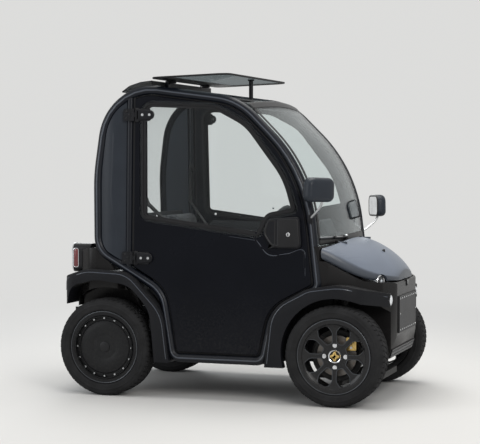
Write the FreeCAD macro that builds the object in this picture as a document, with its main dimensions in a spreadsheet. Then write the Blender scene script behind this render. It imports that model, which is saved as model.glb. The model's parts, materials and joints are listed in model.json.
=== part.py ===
import FreeCAD, Part
import math
import os

# Two-seat electric microcar. Millimetres, +X forward, +Y to the driver's left, +Z up.
# The origin is on the ground below the middle of the wheelbase.

Vector = FreeCAD.Vector
Rotation = FreeCAD.Rotation
Placement = FreeCAD.Placement
X_AXIS = Vector(1, 0, 0)
Y_AXIS = Vector(0, 1, 0)
Z_AXIS = Vector(0, 0, 1)

# Driving sizes: alias, value, what it measures
SIZES = [
    ("overall_length", 1710, "front plate to rear bumper"),
    ("wheelbase", 1205, "front to rear wheel centres"),
    ("track", 890, "between the wheels' middle planes"),
    ("tyre_radius", 246, "tyre radius"),
    ("tyre_width", 145, "tyre section width"),
    ("tyre_bulge", 5, "how far the shoulder turns in"),
    ("rim_seat_radius", 166, "bead seat radius"),
    ("rim_flange_radius", 184, "outer edge of the rim"),
    ("rim_width", 126, "rim width over the flanges"),
    ("rim_wall", 7, "barrel wall"),
    ("web_thickness", 12, "spoked web"),
    ("web_offset", 34, "web outboard of the wheel's middle plane"),
    ("hub_radius", 50, "centre pad of the front rim"),
    ("hub_length", 34, "depth of the front rim's pad"),
    ("spindle_radius", 17, "front stub axle"),
    ("bearing_gap", 0.1, "radial running gap on the axles"),
    ("window_count", 8, "openings in the front rim"),
    ("window_inner", 65, "radius where an opening starts"),
    ("window_outer", 152, "radius where an opening ends"),
    ("window_half_width", 36, "widest half width of an opening"),
    ("wheel_bolt_circle", 108, "bolt circle of the front wheel"),
    ("wheel_bolt_radius", 7, "wheel bolt hole radius"),
    ("disc_radius", 100, "brake disc radius"),
    ("disc_thickness", 9, "brake disc thickness"),
    ("motor_radius", 140, "hub motor housing radius"),
    ("motor_depth", 84, "hub motor housing depth"),
    ("motor_cover_radius", 157, "flat motor cover"),
    ("cover_bolt_circle", 296, "bolt circle of the motor cover"),
    ("cover_bolt_count", 16, "bolts round the motor cover"),
    ("axle_radius", 15, "rear stub axle"),
    ("side_half", 497, "side plane to the middle at the sill"),
    ("side_lean", 1.9, "inward lean of the side plane in degrees"),
    ("sill_height", 207, "middle of the sill tube"),
    ("tube_radius", 22, "side frame tube"),
    ("post_radius", 17, "upright behind the door"),
    ("post_x", -481, "upright's middle"),
    ("seat_gap", 0.3, "gap where one fixed piece seats on another"),
    ("door_gap", 7, "gap round the door"),
    ("door_inset", 3, "door skin behind the side plane"),
    ("door_thickness", 38, "whole door"),
    ("door_rear_x", -448, "door's rear edge"),
    ("door_edge_round", 7, "rounding of the door skin"),
    ("glass_thickness", 4, "door glass"),
    ("glass_lap", 14, "glass overlap round the window opening"),
    ("door_swing", 75, "door opening in degrees"),
    ("hinge_x", -456, "door hinge pin"),
    ("hinge_out", 9, "pin outboard of the side plane"),
    ("hinge_low", 702, "lower hinge height"),
    ("hinge_high", 1422, "upper hinge height"),
    ("hinge_height", 62, "hinge leaf height"),
    ("hinge_pin_radius", 4, "hinge pin"),
    ("hinge_barrel_radius", 8.5, "hinge barrel"),
    ("hinge_leaf", 6, "hinge leaf thickness"),
    ("hinge_reach", 92, "door leaf in front of the pin"),
    ("quarter_inset", 9, "quarter panel behind the side plane"),
    ("quarter_thickness", 26, "whole quarter panel"),
    ("quarter_bulge", 16, "crown of the quarter panel"),
    ("screen_thickness", 5, "windscreen glass"),
    ("screen_forward", 8, "screen ahead of the tube's middle"),
    ("screen_bow", 40, "bow of the screen in plan"),
    ("cowl_height", 776, "top of the cowl below the screen"),
    ("cowl_front_x", 518, "front corners of the cowl"),
    ("cowl_bow", 57, "bow of the cowl's front in plan"),
    ("hood_gap", 6, "gap between hood and shell"),
    ("hood_wall", 14, "hood lid wall"),
    ("hood_hinge_x", 549, "hood hinge line"),
    ("hood_hinge_z", 787, "hood hinge height"),
    ("hood_hinge_y", 240, "hood hinges from the middle"),
    ("hood_swing", 55, "hood opening in degrees"),
    ("shell_wall", 12, "front and rear shell wall"),
    ("arch_gap", 56, "wheel arch beyond the tyre"),
    ("lip_gap", 23, "fender lip beyond the tyre"),
    ("lip_forward", 5, "front lip's middle ahead of the wheel"),
    ("lip_raise", 13, "front lip's middle above the wheel"),
    ("fender_half", 515, "outer face of the fenders"),
    ("lip_depth", 45, "how far the front lip reaches in before the arch widens"),
    ("well_half_front", 262, "body half width between the front wheels"),
    ("well_half_rear", 356, "body half width between the rear wheels"),
    ("floor_low", 186, "underside of the floor"),
    ("floor_rear_x", -345, "rear edge of the floor"),
    ("floor_thickness", 28, "floor"),
    ("panel_half", 500, "roof panel half width"),
    ("panel_thickness", 5, "roof panel"),
    ("panel_hinge_x", -352, "roof panel hinge"),
    ("panel_hinge_z", 1592, "roof panel hinge height"),
    ("panel_length", 412, "roof panel ahead of its hinge"),
    ("panel_rise", 2.0, "slope of the propped panel in degrees"),
    ("panel_closing", 11.0, "panel travel down to its seal in degrees"),
    ("rail_depth", 30, "roof rail section depth"),
    ("stay_radius", 11, "roof stay bar"),
    ("stay_gap", 2, "running gap of the stay in its fork"),
    ("cap_half", 430, "roof cap half width"),
    ("cap_skin", 5, "roof cap moulding"),
    ("header_width", 64, "front roof rail width"),
    ("header_x", 62, "front roof rail's middle"),
    ("lamp_radius", 28, "front lamp radius"),
    ("headlamp_x", 770, "headlamp face"),
    ("headlamp_y", 280, "headlamp from the middle"),
    ("headlamp_z", 600, "headlamp height"),
    ("turn_lamp_y", 282, "turn lamp from the middle"),
    ("turn_lamp_z", 508, "turn lamp height"),
    ("plate_half", 192, "riveted front plate half width"),
    ("plate_low", 338, "riveted front plate's lower edge"),
    ("plate_high", 522, "riveted front plate's upper edge"),
    ("tail_lamp_width", 84, "tail lamp width"),
    ("tail_lamp_height", 146, "tail lamp height"),
    ("tail_lamp_depth", 62, "tail lamp depth"),
    ("tail_lamp_y", 378, "tail lamp from the middle"),
    ("tail_lamp_z", 692, "tail lamp height of its middle"),
    ("wheel_rim_radius", 165, "steering wheel"),
    ("wheel_rim_tube", 13, "steering wheel rim section"),
    ("wheel_tilt", 32, "steering axis above level in degrees"),
    ("wheel_x", 62, "steering wheel hub"),
    ("wheel_y", 205, "steering wheel from the middle"),
    ("wheel_z", 800, "steering wheel hub height"),
    ("kingpin_low_y", 412, "lower ball joint from the middle"),
    ("kingpin_low_z", 118, "lower ball joint height"),
    ("kingpin_top_y", 306, "strut top from the middle"),
    ("kingpin_top_z", 575, "strut top height"),
    ("steering_arm", 88, "steering arm ahead of the axle"),
    ("rack_radius", 13, "rack bar"),
    ("rack_height", 186, "rack and steering arms above the ground"),
    ("seat_split", 8, "half gap between the two seats"),
    ("seat_width", 372, "one seat"),
    ("cushion_height", 96, "seat cushion"),
    ("cushion_low", 452, "underside of the cushion"),
    ("cushion_front_x", 66, "front of the cushion"),
    ("cushion_length", 400, "cushion length"),
    ("back_height", 480, "seat back"),
    ("back_thickness", 88, "seat back"),
    ("back_lean", 11, "seat back lean in degrees"),
    ("mirror_width", 178, "mirror housing"),
    ("mirror_height", 124, "mirror housing"),
    ("mirror_depth", 54, "mirror housing"),
    ("mirror_turn", 30, "mirror turned outwards in degrees"),
    ("mirror_z", 1052, "middle of the right mirror"),
    ("mirror_drop", 107, "left mirror below the right one"),
    ("plate_hole_radius", 3, "rear plate screw holes"),
    ("plate_hole_pitch", 120, "rear plate screw holes apart"),
]

# Middle line of the side frame tube in the side plane: x, height, corner radius
SIDE_RING = [
    (-658, 1121, 900),
    (-596, 1581, 267),
    (95, 1489, 328),
    (447, 1139, 747),
    (516, 572, 45),
    (289, 452, 160),
    (238, 207, 45),
    (-237, 207, 45),
    (-296, 535, 150),
    (-650, 738, 120),
]
RING_ROOF_REAR = 1
RING_ROOF_FRONT = 2
RING_PILLAR = 3
RING_PILLAR_FOOT = 4

# Window opening in the door: x, height, corner radius
WINDOW = [
    (-404, 902, 38),
    (-412, 1484, 58),
    (-20, 1466, 200),
    (150, 1376, 260),
    (352, 1112, 420),
    (402, 944, 24),
    (262, 918, 46),
    (214, 822, 30),
]

# Latch housing on the door: x, height, corner radius
LATCH = [(236, 838, 62), (262, 908, 22), (424, 920, 20), (436, 764, 22), (292, 764, 60)]

# Outer outline of the fenders, then back along the wheel opening: x, height, corner radius
FRONT_FENDER = [
    (254, 182, 0),
    (284, 470, 170),
    (470, 572, 120),
    (640, 596, 240),
    (842, 540, 14),
    (842, 474, 8),
    (730, 500, 0),
    (607, 300, 0),
    (607, 182, 0),
]
REAR_FENDER = [
    (-248, 182, 0),
    (-276, 432, 210),
    (-470, 632, 150),
    (-700, 642, 200),
    (-832, 598, 46),
    (-832, 460, 6),
    (-808, 460, 4),
    (-790, 556, 90),
    (-640, 588, 160),
    (-462, 566, 150),
    (-350, 440, 160),
    (-326, 182, 0),
]

# Hood lid stations: x, half width, lip height, edge height, crown height
HOOD_STATIONS = [
    (512, 474, 720, 772, 802),
    (640, 424, 655, 712, 786),
    (735, 350, 612, 658, 742),
    (806, 246, 598, 628, 686),
    (842, 140, 596, 612, 640),
]

# Front shell in plan (x, half width, corner radius) and from the side (x, height, corner radius)
SHELL_PLAN = [(452, 486, 0), (566, 466, 60), (690, 412, 90), (800, 330, 40), (848, 214, 40)]
SHELL_SIDE = [
    (452, 704, 6),
    (550, 704, 20),
    (720, 606, 60),
    (852, 590, 24),
    (852, 340, 30),
    (812, 208, 10),
    (740, 222, 10),
    (556, 214, 6),
    (536, 480, 20),
    (452, 560, 10),
]

# Rear shell in plan and from the side
REAR_PLAN = [
    (-452, 428, 0),
    (-516, 428, 10),
    (-548, 470, 20),
    (-700, 466, 60),
    (-768, 420, 60),
    (-806, 200, 120),
]
REAR_SIDE = [
    (-452, 430, 6),
    (-560, 640, 30),
    (-640, 752, 30),
    (-770, 736, 50),
    (-806, 560, 80),
    (-792, 300, 30),
    (-452, 300, 6),
]

doc = FreeCAD.newDocument("microcar")
sheet = doc.addObject("Spreadsheet::Sheet", "sizes")
for row, (alias, value, note) in enumerate(SIZES, start=1):
    sheet.set("A%d" % row, alias)
    sheet.set("B%d" % row, str(value))
    sheet.setAlias("B%d" % row, alias)
    sheet.set("C%d" % row, note)
doc.recompute()

NODES = []


def size(alias):
    """A driving size as a number."""
    return float(sheet.get(alias))


def bind(obj, **formulas):
    """Tie properties of an object to cells of the sheet."""
    for name, formula in formulas.items():
        obj.setExpression(name, formula)


def node(obj, label):
    """Give a finished sub-part its name and put it on the list of nodes."""
    obj.Label = label
    NODES.append(obj)
    return obj


def corner(before, here, after, radius):
    """Start, middle and end of the arc that rounds one corner."""
    back = (before - here).normalize()
    ahead = (after - here).normalize()
    half = back.getAngle(ahead) / 2
    reach = radius / math.tan(half)
    middle = here + (back + ahead).normalize() * (radius / math.sin(half) - radius)
    return here + back * reach, middle, here + ahead * reach


def outline(points, closed=True):
    """Lines and tangent arcs through rounded corners, as geometry in a plane."""
    flat = [Vector(p[0], p[1], 0) for p in points]
    count = len(flat)
    arcs = []
    for index, point in enumerate(points):
        radius = point[2]
        at_end = not closed and index in (0, count - 1)
        if radius > 0 and not at_end:
            arcs.append(corner(flat[index - 1], flat[index], flat[(index + 1) % count], radius))
        else:
            arcs.append((flat[index], None, flat[index]))
    edges = []
    for index in range(count):
        start, middle, end = arcs[index]
        if middle is not None:
            edges.append(Part.Arc(start, middle, end))
        if closed or index < count - 1:
            following = arcs[(index + 1) % count][0]
            if end.distanceToPoint(following) > 1e-6:
                edges.append(Part.LineSegment(end, following))
    return edges


def inset(points, distance):
    """A closed outline moved inwards, with its corner radii changed to suit."""
    count = len(points)
    area = sum(points[i - 1][0] * points[i][1] - points[i][0] * points[i - 1][1] for i in range(count))
    turn_sign = 1 if area > 0 else -1
    moved = []
    for index in range(count):
        before = Vector(*points[index - 1][:2], 0)
        here = Vector(*points[index][:2], 0)
        after = Vector(*points[(index + 1) % count][:2], 0)
        into = (here - before).normalize()
        out = (after - here).normalize()
        left_in = Vector(-into.y, into.x, 0) * turn_sign
        left_out = Vector(-out.y, out.x, 0) * turn_sign
        bisector = (left_in + left_out).normalize()
        step = distance / bisector.dot(left_in)
        convex = into.cross(out).z * turn_sign > 0
        radius = points[index][2]
        new_radius = max(radius - distance, 1) if convex else radius + distance
        spot = here + bisector * step
        moved.append((spot.x, spot.y, new_radius if radius > 0 else 0))
    return moved


def turned(points, degrees):
    """Outline points turned about the origin."""
    turn = Rotation(Z_AXIS, degrees)
    spots = [(turn.multVec(Vector(x, y, 0)), radius) for x, y, radius in points]
    return [(spot.x, spot.y, radius) for spot, radius in spots]


def mirrored_plan(half):
    """A plan outline from its right half: x, half width, corner radius."""
    right = [(x, -y, r) for x, y, r in half]
    left = [(x, y, r) for x, y, r in reversed(half)]
    return right + left


def on_side(points):
    """Outline points in the side plane as a face standing at y = 0."""
    edges = [e.toShape() for e in outline(points)]
    face = Part.Face(Part.Wire(edges))
    face.rotate(Vector(0, 0, 0), X_AXIS, 90)
    return face


def side_prism(points, y_from, y_to):
    """A solid with a side-view outline, between two distances from the middle."""
    face = on_side(points)
    face.translate(Vector(0, y_from, 0))
    return face.extrude(Vector(0, y_to - y_from, 0))


def plan_prism(points, low, high):
    """A solid with a plan outline, between two heights."""
    face = Part.Face(Part.Wire([e.toShape() for e in outline(points)]))
    face.translate(Vector(0, 0, low))
    return face.extrude(Vector(0, 0, high - low))


def block(x_span, y_span, z_span):
    """A plain box from its three spans."""
    return Part.makeBox(x_span[1] - x_span[0], y_span[1] - y_span[0], z_span[1] - z_span[0],
                        Vector(x_span[0], y_span[0], z_span[0]))


def rod(start, end, radius):
    """A round bar between two points."""
    axis = end - start
    return Part.makeCylinder(radius, axis.Length, start, axis)


def y_cylinder(x, z, radius, y_from, y_to):
    """A cylinder across the car."""
    return Part.makeCylinder(radius, y_to - y_from, Vector(x, y_from, z), Y_AXIS)


def mirrored(shape):
    """The same shape on the other side of the car."""
    return shape.mirror(Vector(0, 0, 0), Y_AXIS)


def both(shape):
    """A right-hand shape and its left-hand twin in one compound."""
    return Part.makeCompound([shape, mirrored(shape)])


def feature(label, shape, placement=None):
    """A sub-part whose shape is made with the shape functions."""
    obj = doc.addObject("Part::Feature", label)
    obj.Shape = shape
    if placement is not None:
        obj.Placement = placement
    return node(obj, label)


def made(label):
    """Shape of a sub-part made earlier."""
    return next(obj for obj in NODES if obj.Label == label).Shape


def left_of(right, label):
    """The left-hand twin of a right-hand sub-part."""
    twin = doc.addObject("Part::Mirroring", label)
    twin.Source = right
    twin.Normal = Y_AXIS
    twin.Base = Vector(0, 0, 0)
    return node(twin, label)


def new_body(label):
    return doc.addObject("PartDesign::Body", label)


def new_sketch(body, role, label, offset=0.0):
    """A sketch on one of the body's own origin planes, moved along its normal."""
    sketch = body.newObject("Sketcher::SketchObject", label)
    plane = next(item for item in body.Origin.OriginFeatures if item.Role == role)
    sketch.AttachmentSupport = [(plane, "")]
    sketch.MapMode = "FlatFace"
    sketch.AttachmentOffset = Placement(Vector(0, 0, offset), Rotation())
    return sketch


def drawn(body, role, label, points, offset=0.0, closed=True):
    """A sketch that holds one rounded outline."""
    sketch = new_sketch(body, role, label, offset)
    sketch.addGeometry(outline(points, closed), False)
    return sketch


def pad(body, sketch, label, formula):
    grown = body.newObject("PartDesign::Pad", label)
    grown.Profile = sketch
    bind(grown, Length=formula)
    return grown


def pocket(body, sketch, label, formula, reverse=False):
    cut = body.newObject("PartDesign::Pocket", label)
    cut.Profile = sketch
    cut.Reversed = reverse
    bind(cut, Length=formula)
    return cut


def revolve(body, sketch, label):
    spun = body.newObject("PartDesign::Revolution", label)
    spun.Profile = sketch
    spun.ReferenceAxis = (sketch, ["V_Axis"])
    spun.Angle = 360
    return spun


def ring_pattern(body, cut, sketch, label, formula):
    """Repeat a feature round the sketch's normal."""
    pattern = body.newObject("PartDesign::PolarPattern", label)
    pattern.Originals = [cut]
    pattern.Axis = (sketch, ["N_Axis"])
    pattern.Angle = 360
    bind(pattern, Occurrences=formula)
    body.Tip = pattern
    return pattern


def round_edges(body, base, label, formula, wanted):
    """Fillet the edges of a feature that a test picks out."""
    doc.recompute()
    names = ["Edge%d" % (i + 1) for i, edge in enumerate(base.Shape.Edges) if wanted(edge)]
    rounded = body.newObject("PartDesign::Fillet", label)
    rounded.Base = (base, names)
    bind(rounded, Radius=formula)
    return rounded


def lies_at_y(edge, y):
    """True for an edge that lies in a plane across the car at y."""
    box = edge.BoundBox
    return abs(box.YMin - y) < 0.01 and abs(box.YMax - y) < 0.01


WHEEL_FRONT_X = size("wheelbase") / 2
WHEEL_REAR_X = -size("wheelbase") / 2
WHEEL_Y = size("track") / 2
WHEEL_Z = size("tyre_radius")
RING_CLEAR = size("tube_radius") + size("seat_gap")
NOSE_X = size("overall_length") / 2
WHEELHOUSE_OUT = 430


def side_place():
    """Right side plane: the outline's y = 0 goes to the leaning side of the car."""
    pivot = Vector(0, -size("side_half"), size("sill_height"))
    lean = Rotation(X_AXIS, -size("side_lean"))
    return Placement(pivot - lean.multVec(Vector(0, 0, size("sill_height"))), lean)


def side_point(x, depth, height):
    """A point on the right side: x, distance inboard of the side plane, height along it."""
    return side_place().multVec(Vector(x, depth, height))


def ring_pipe(radius):
    """The side frame's closed tube in the side plane, its outer side at y = 0."""
    wire = Part.Wire([e.toShape() for e in outline(SIDE_RING)])
    wire.rotate(Vector(0, 0, 0), X_AXIS, 90)
    wire.translate(Vector(0, size("tube_radius"), 0))
    low = size("sill_height")
    circle = Part.Wire(Part.Circle(Vector(0, size("tube_radius"), low), X_AXIS, radius).toShape())
    return wire.makePipeShell([circle], True, False)


def ring_envelopes():
    """Both frame tubes with the seating gap added, to cut what seats on them."""
    pipe = ring_pipe(RING_CLEAR)
    pipe.Placement = side_place()
    return both(pipe)


def ring_rooms(depth):
    """The space inside both side frames, from outside to a depth behind the side plane."""
    room = side_prism(SIDE_RING, -80, depth)
    room.Placement = side_place()
    return both(room)


def door_rooms():
    """The space that the doors and quarter panels fill, with the gap behind them."""
    return ring_rooms(size("door_inset") + size("door_thickness") + size("door_gap"))


ENVELOPES = ring_envelopes()


def tyre(label, x):
    """A tyre with rounded shoulders and a bead that sits on the rim."""
    body = new_body(label)
    half = size("tyre_width") / 2
    outer = size("tyre_radius")
    seat = size("rim_seat_radius") + size("seat_gap")
    bead = size("rim_width") / 2 - 10
    crown = half - size("tyre_bulge")
    profile = [
        (seat, -bead, 0), (seat, bead, 0), (seat + 16, bead, 4), (seat + 34, half, 18),
        (outer - 16, half - 2, 14), (outer, crown - 6, 12), (outer, -crown + 6, 12),
        (outer - 16, -half + 2, 14), (seat + 34, -half, 18), (seat + 16, -bead, 4),
    ]
    sketch = drawn(body, "XZ_Plane", label + "_profile", profile)
    revolve(body, sketch, label + "_ring")
    body.Placement = Placement(Vector(x, -WHEEL_Y, WHEEL_Z), Rotation(X_AXIS, 90))
    return node(body, label)


def barrel_profile(inner_parts):
    """Rim barrel from its outboard flange to its inboard flange, with what stands inside."""
    half = size("rim_width") / 2
    seat = size("rim_seat_radius")
    flange = size("rim_flange_radius")
    wall = size("rim_wall")
    return [
        (flange, half, 2), (flange, half - 6, 0), (seat, half - 8, 2), (seat, -half + 8, 2),
        (flange, -half + 6, 0), (flange, -half, 2), (seat - wall, -half, 2),
    ] + inner_parts + [(seat - wall, half, 4)]


def front_rim():
    """Alloy wheel: dished web with eight teardrop openings and a bolted hub pad."""
    body = new_body("rim_front_right")
    seat = size("rim_seat_radius")
    wall = size("rim_wall")
    web = size("web_offset")
    thick = size("web_thickness")
    bore = size("spindle_radius") + size("bearing_gap")
    pad_low = web + thick - size("hub_length")
    inner = [
        (seat - wall, web - 4, 6), (size("hub_radius") + 8, web - 12, 6), (size("hub_radius"), pad_low, 2),
        (bore, pad_low, 0), (bore, web + thick - 14, 0), (size("hub_radius"), web + thick - 12, 8),
        (seat - wall - 16, web + thick + 4, 10), (seat - wall, web + thick + 12, 4),
    ]
    sketch = drawn(body, "XZ_Plane", "rim_profile", barrel_profile(inner))
    revolve(body, sketch, "rim_turned")
    first = size("window_inner")
    last = size("window_outer")
    wide = size("window_half_width")
    drop = [(first, 0, 9), (last - wide, -wide, wide * 0.8), (last, -wide * 0.7, wide * 0.5),
            (last, wide * 0.7, wide * 0.5), (last - wide, wide, wide * 0.8)]
    half_step = 180 / size("window_count")
    opening = drawn(body, "XY_Plane", "rim_opening", turned(drop, half_step), web - 30)
    cut = pocket(body, opening, "rim_window", "sizes.web_thickness + 60", True)
    ring_pattern(body, cut, opening, "rim_windows", "sizes.window_count")
    bolt = new_sketch(body, "XY_Plane", "rim_bolt", pad_low - 5)
    bolt.addGeometry(Part.Circle(Vector(size("wheel_bolt_circle") / 2, 0, 0), Z_AXIS,
                                 size("wheel_bolt_radius")), False)
    hole = pocket(body, bolt, "rim_bolt_hole", "sizes.hub_length + 20", True)
    ring_pattern(body, hole, bolt, "rim_bolt_holes", "4")
    body.Placement = Placement(Vector(WHEEL_FRONT_X, -WHEEL_Y, WHEEL_Z), Rotation(X_AXIS, 90))
    return node(body, "rim_front_right")


def brake_disc():
    """Front brake disc with its hat, bolted behind the rim's pad."""
    body = new_body("brake_disc_right")
    top = size("web_offset") + size("web_thickness") - size("hub_length") - size("seat_gap")
    bore = size("spindle_radius") + size("bearing_gap")
    radius = size("disc_radius")
    thick = size("disc_thickness")
    profile = [
        (bore, top, 0), (62, top, 3), (62, top - 12, 0), (radius, top - 12, 1),
        (radius, top - 12 - thick, 1), (54, top - 12 - thick, 0), (54, top - 8, 0), (bore, top - 8, 0),
    ]
    sketch = drawn(body, "XZ_Plane", "disc_profile", profile)
    revolve(body, sketch, "disc_turned")
    body.Placement = Placement(Vector(WHEEL_FRONT_X, -WHEEL_Y, WHEEL_Z), Rotation(X_AXIS, 90))
    return node(body, "brake_disc_right")


def rear_rim():
    """Steel rim with the hub motor inside it and a flat bolted cover outside."""
    body = new_body("rim_rear_right")
    seat = size("rim_seat_radius")
    wall = size("rim_wall")
    cover = size("motor_cover_radius")
    bore = size("axle_radius") + size("bearing_gap")
    motor = size("motor_radius")
    face = size("rim_width") / 2 - 12
    inner = [
        (seat - wall, face - 30, 3), (motor, face - 30, 3), (motor, face - size("motor_depth"), 8),
        (bore, face - size("motor_depth"), 0), (bore, face - 20, 0), (0, face - 20, 0), (0, face, 0),
        (cover - 26, face, 4), (cover - 20, face - 4, 4), (cover, face - 4, 3), (seat - wall, face - 16, 3),
    ]
    sketch = drawn(body, "XZ_Plane", "motor_profile", barrel_profile(inner))
    revolve(body, sketch, "motor_turned")
    head = new_sketch(body, "XY_Plane", "cover_bolt", face - 5)
    head.addGeometry(Part.Circle(Vector(size("cover_bolt_circle") / 2, 0, 0), Z_AXIS, 5.5), False)
    bolt = pad(body, head, "cover_bolt_head", "7")
    ring_pattern(body, bolt, head, "cover_bolts", "sizes.cover_bolt_count")
    body.Placement = Placement(Vector(WHEEL_REAR_X, -WHEEL_Y, WHEEL_Z), Rotation(X_AXIS, 90))
    return node(body, "rim_rear_right")


def disc_back():
    """Distance from the middle of the car to the running face behind the brake disc."""
    return (WHEEL_Y + size("web_offset") + size("web_thickness") - size("hub_length") - 12
            - size("disc_thickness") - size("seat_gap"))


def kingpin_axis():
    """Lower and upper points of the right steering axis."""
    low = Vector(WHEEL_FRONT_X, -size("kingpin_low_y"), size("kingpin_low_z"))
    top = Vector(WHEEL_FRONT_X, -size("kingpin_top_y"), size("kingpin_top_z"))
    return low, top


def knuckle():
    """Upright with stub axle, strut, steering arm and brake caliper."""
    low, top = kingpin_axis()
    along = (top - low).normalize()
    hub = Vector(WHEEL_FRONT_X, -WHEEL_Y, WHEEL_Z)
    back = disc_back()
    inner_y = -back + 6
    boss = rod(low + along * 4, low + along * 44, 16)
    spindle = rod(Vector(hub.x, inner_y + 14, hub.z), Vector(hub.x, hub.y - size("web_offset") + 4, hub.z),
                  size("spindle_radius"))
    carrier = rod(Vector(hub.x, inner_y + 30, hub.z), Vector(hub.x, inner_y, hub.z), 40)
    upright = block((hub.x - 20, hub.x + 20), (inner_y, inner_y + 26), (low.z + 30, hub.z + 84))
    clamp = block((hub.x - 18, hub.x + 18), (inner_y + 4, -346), (hub.z + 58, hub.z + 84))
    strut_low = Vector(hub.x, -346, hub.z + 50)
    strut = rod(strut_low, Vector(hub.x, top.y - 6, top.z - 60), 22)
    strut = strut.fuse(rod(Vector(hub.x, top.y - 6, top.z - 64), top - along * 1, 9))
    arm_y = inner_y + 14
    arm_tip = Vector(hub.x + size("steering_arm"), arm_y, size("rack_height"))
    arm = block((hub.x - 14, arm_tip.x + 9), (arm_y - 7, arm_y + 7), (arm_tip.z - 10, arm_tip.z + 10))
    caliper_x = hub.x + 76
    jaw = block((caliper_x - 26, caliper_x + 26), (inner_y - 26, inner_y + 14), (hub.z + 28, hub.z + 94))
    disc_room = y_cylinder(hub.x, hub.z, size("disc_radius") + 3,
                           -back - size("disc_thickness") - 3, -back + 3)
    bridge = block((hub.x, caliper_x), (inner_y + 4, inner_y + 22), (hub.z + 36, hub.z + 72))
    hat_room = y_cylinder(hub.x, hub.z, 66, hub.y - 40, -back)
    caliper = jaw.cut(disc_room).cut(hat_room).fuse(bridge)
    whole = boss
    for piece in (spindle, carrier, upright, clamp, strut, arm, caliper):
        whole = whole.fuse(piece)
    socket = rod(low - along * 20, low + along * 34, 8 + size("bearing_gap"))
    return feature("knuckle_right", whole.cut(socket).removeSplitter())


def steering_rack():
    """Rack bar across the nose with a rod end in front of each steering arm."""
    tip_y = disc_back() - 6 - 14 - 7 - 8
    bars = []
    for label, radius, half in (("rack_rod", "8", tip_y), ("rack_bar", "sizes.rack_radius", 150)):
        bar = doc.addObject("Part::Cylinder", label)
        bind(bar, Radius=radius, Height=str(2 * half))
        bar.Placement = Placement(Vector(0, half, 0), Rotation(X_AXIS, 90))
        bars.append(bar)
    rack = doc.addObject("Part::MultiFuse", "steering_rack")
    rack.Shapes = bars
    rack.Refine = True
    ahead = Vector(WHEEL_FRONT_X + size("steering_arm"), 0, size("rack_height"))
    rack.Placement = Placement(ahead, Rotation())
    return node(rack, "steering_rack")


def front_suspension():
    """Lower arms with their ball studs, and the tube of the steering rack."""
    low, top = kingpin_axis()
    along = (top - low).normalize()
    inner = 176
    plane = low.z - 8
    outline_half = [(20, low.y - 14, 13), (24, low.y + 72, 40), (145, -inner, 12), (108, -inner, 12)]
    right = [(low.x + x, y, radius) for x, y, radius in outline_half]
    left = [(low.x - x, y, radius) for x, y, radius in reversed(outline_half)]
    arm = plan_prism(right + [(low.x, low.y + 84, 24)] + left, plane - 12, plane + 6)
    stud = rod(low - along * 12, low + along * 30, 8)
    arm = arm.fuse(stud)
    cradle = block((low.x - 165, low.x + 155), (-inner, inner), (plane - 16, plane + 14))
    hollow = block((low.x - 135, low.x + 125), (-inner + 30, inner - 30), (plane - 20, plane + 20))
    post_top = size("floor_low") - size("seat_gap")
    posts = [block((low.x + px - 14, low.x + px + 14), (-inner + 2, -inner + 28), (plane + 14, post_top))
             for px in (-150, -80)]
    frame = cradle.cut(hollow)
    for post in posts:
        frame = frame.fuse(post).fuse(mirrored(post))
    rack_x = WHEEL_FRONT_X + size("steering_arm")
    gap = size("rack_radius") + size("bearing_gap")
    housing = y_cylinder(rack_x, size("rack_height"), size("rack_radius") + 9, -90, 90)
    saddle = block((rack_x - 20, rack_x + 20), (-60, 60), (plane, size("rack_height")))
    saddle_foot = block((rack_x - 20, low.x + 155), (-60, 60), (plane, plane + 14))
    bore = y_cylinder(rack_x, size("rack_height"), gap, -100, 100)
    housing = housing.fuse(saddle).fuse(saddle_foot).cut(bore)
    whole = frame.fuse(arm).fuse(mirrored(arm)).fuse(housing).removeSplitter()
    return feature("front_suspension", whole)


def rear_suspension():
    """Trailing arms with stub axles and dampers, on one cross tube."""
    pivot_x = size("floor_rear_x") - 30
    arm_y = -size("well_half_rear") + 4
    arm = side_prism([(pivot_x + 24, 202, 16), (pivot_x + 24, 250, 16), (WHEEL_REAR_X + 10, 282, 20),
                      (WHEEL_REAR_X - 34, 282, 24), (WHEEL_REAR_X - 34, 214, 24), (WHEEL_REAR_X, 208, 20)],
                     arm_y - 4, arm_y + 20)
    motor_back = WHEEL_Y + size("rim_width") / 2 - 12 - size("motor_depth")
    axle = y_cylinder(WHEEL_REAR_X, WHEEL_Z, size("axle_radius"), -WHEEL_Y - 30, arm_y)
    collar = y_cylinder(WHEEL_REAR_X, WHEEL_Z, 30, -motor_back + 1, arm_y)
    damper = rod(Vector(WHEEL_REAR_X + 60, arm_y + 44, 262), Vector(WHEEL_REAR_X + 60, arm_y + 44, 299.7), 20)
    eye = y_cylinder(WHEEL_REAR_X + 60, 258, 12, arm_y, arm_y + 60)
    tube = y_cylinder(pivot_x, 226, 22, arm_y - 4, -arm_y + 4)
    bracket = block((pivot_x, size("floor_rear_x") - size("seat_gap")), (-220, -190), (206, 246))
    half = arm.fuse(axle).fuse(collar).fuse(damper).fuse(eye).fuse(bracket)
    return feature("rear_suspension", tube.fuse(half).fuse(mirrored(half)).removeSplitter())


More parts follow.
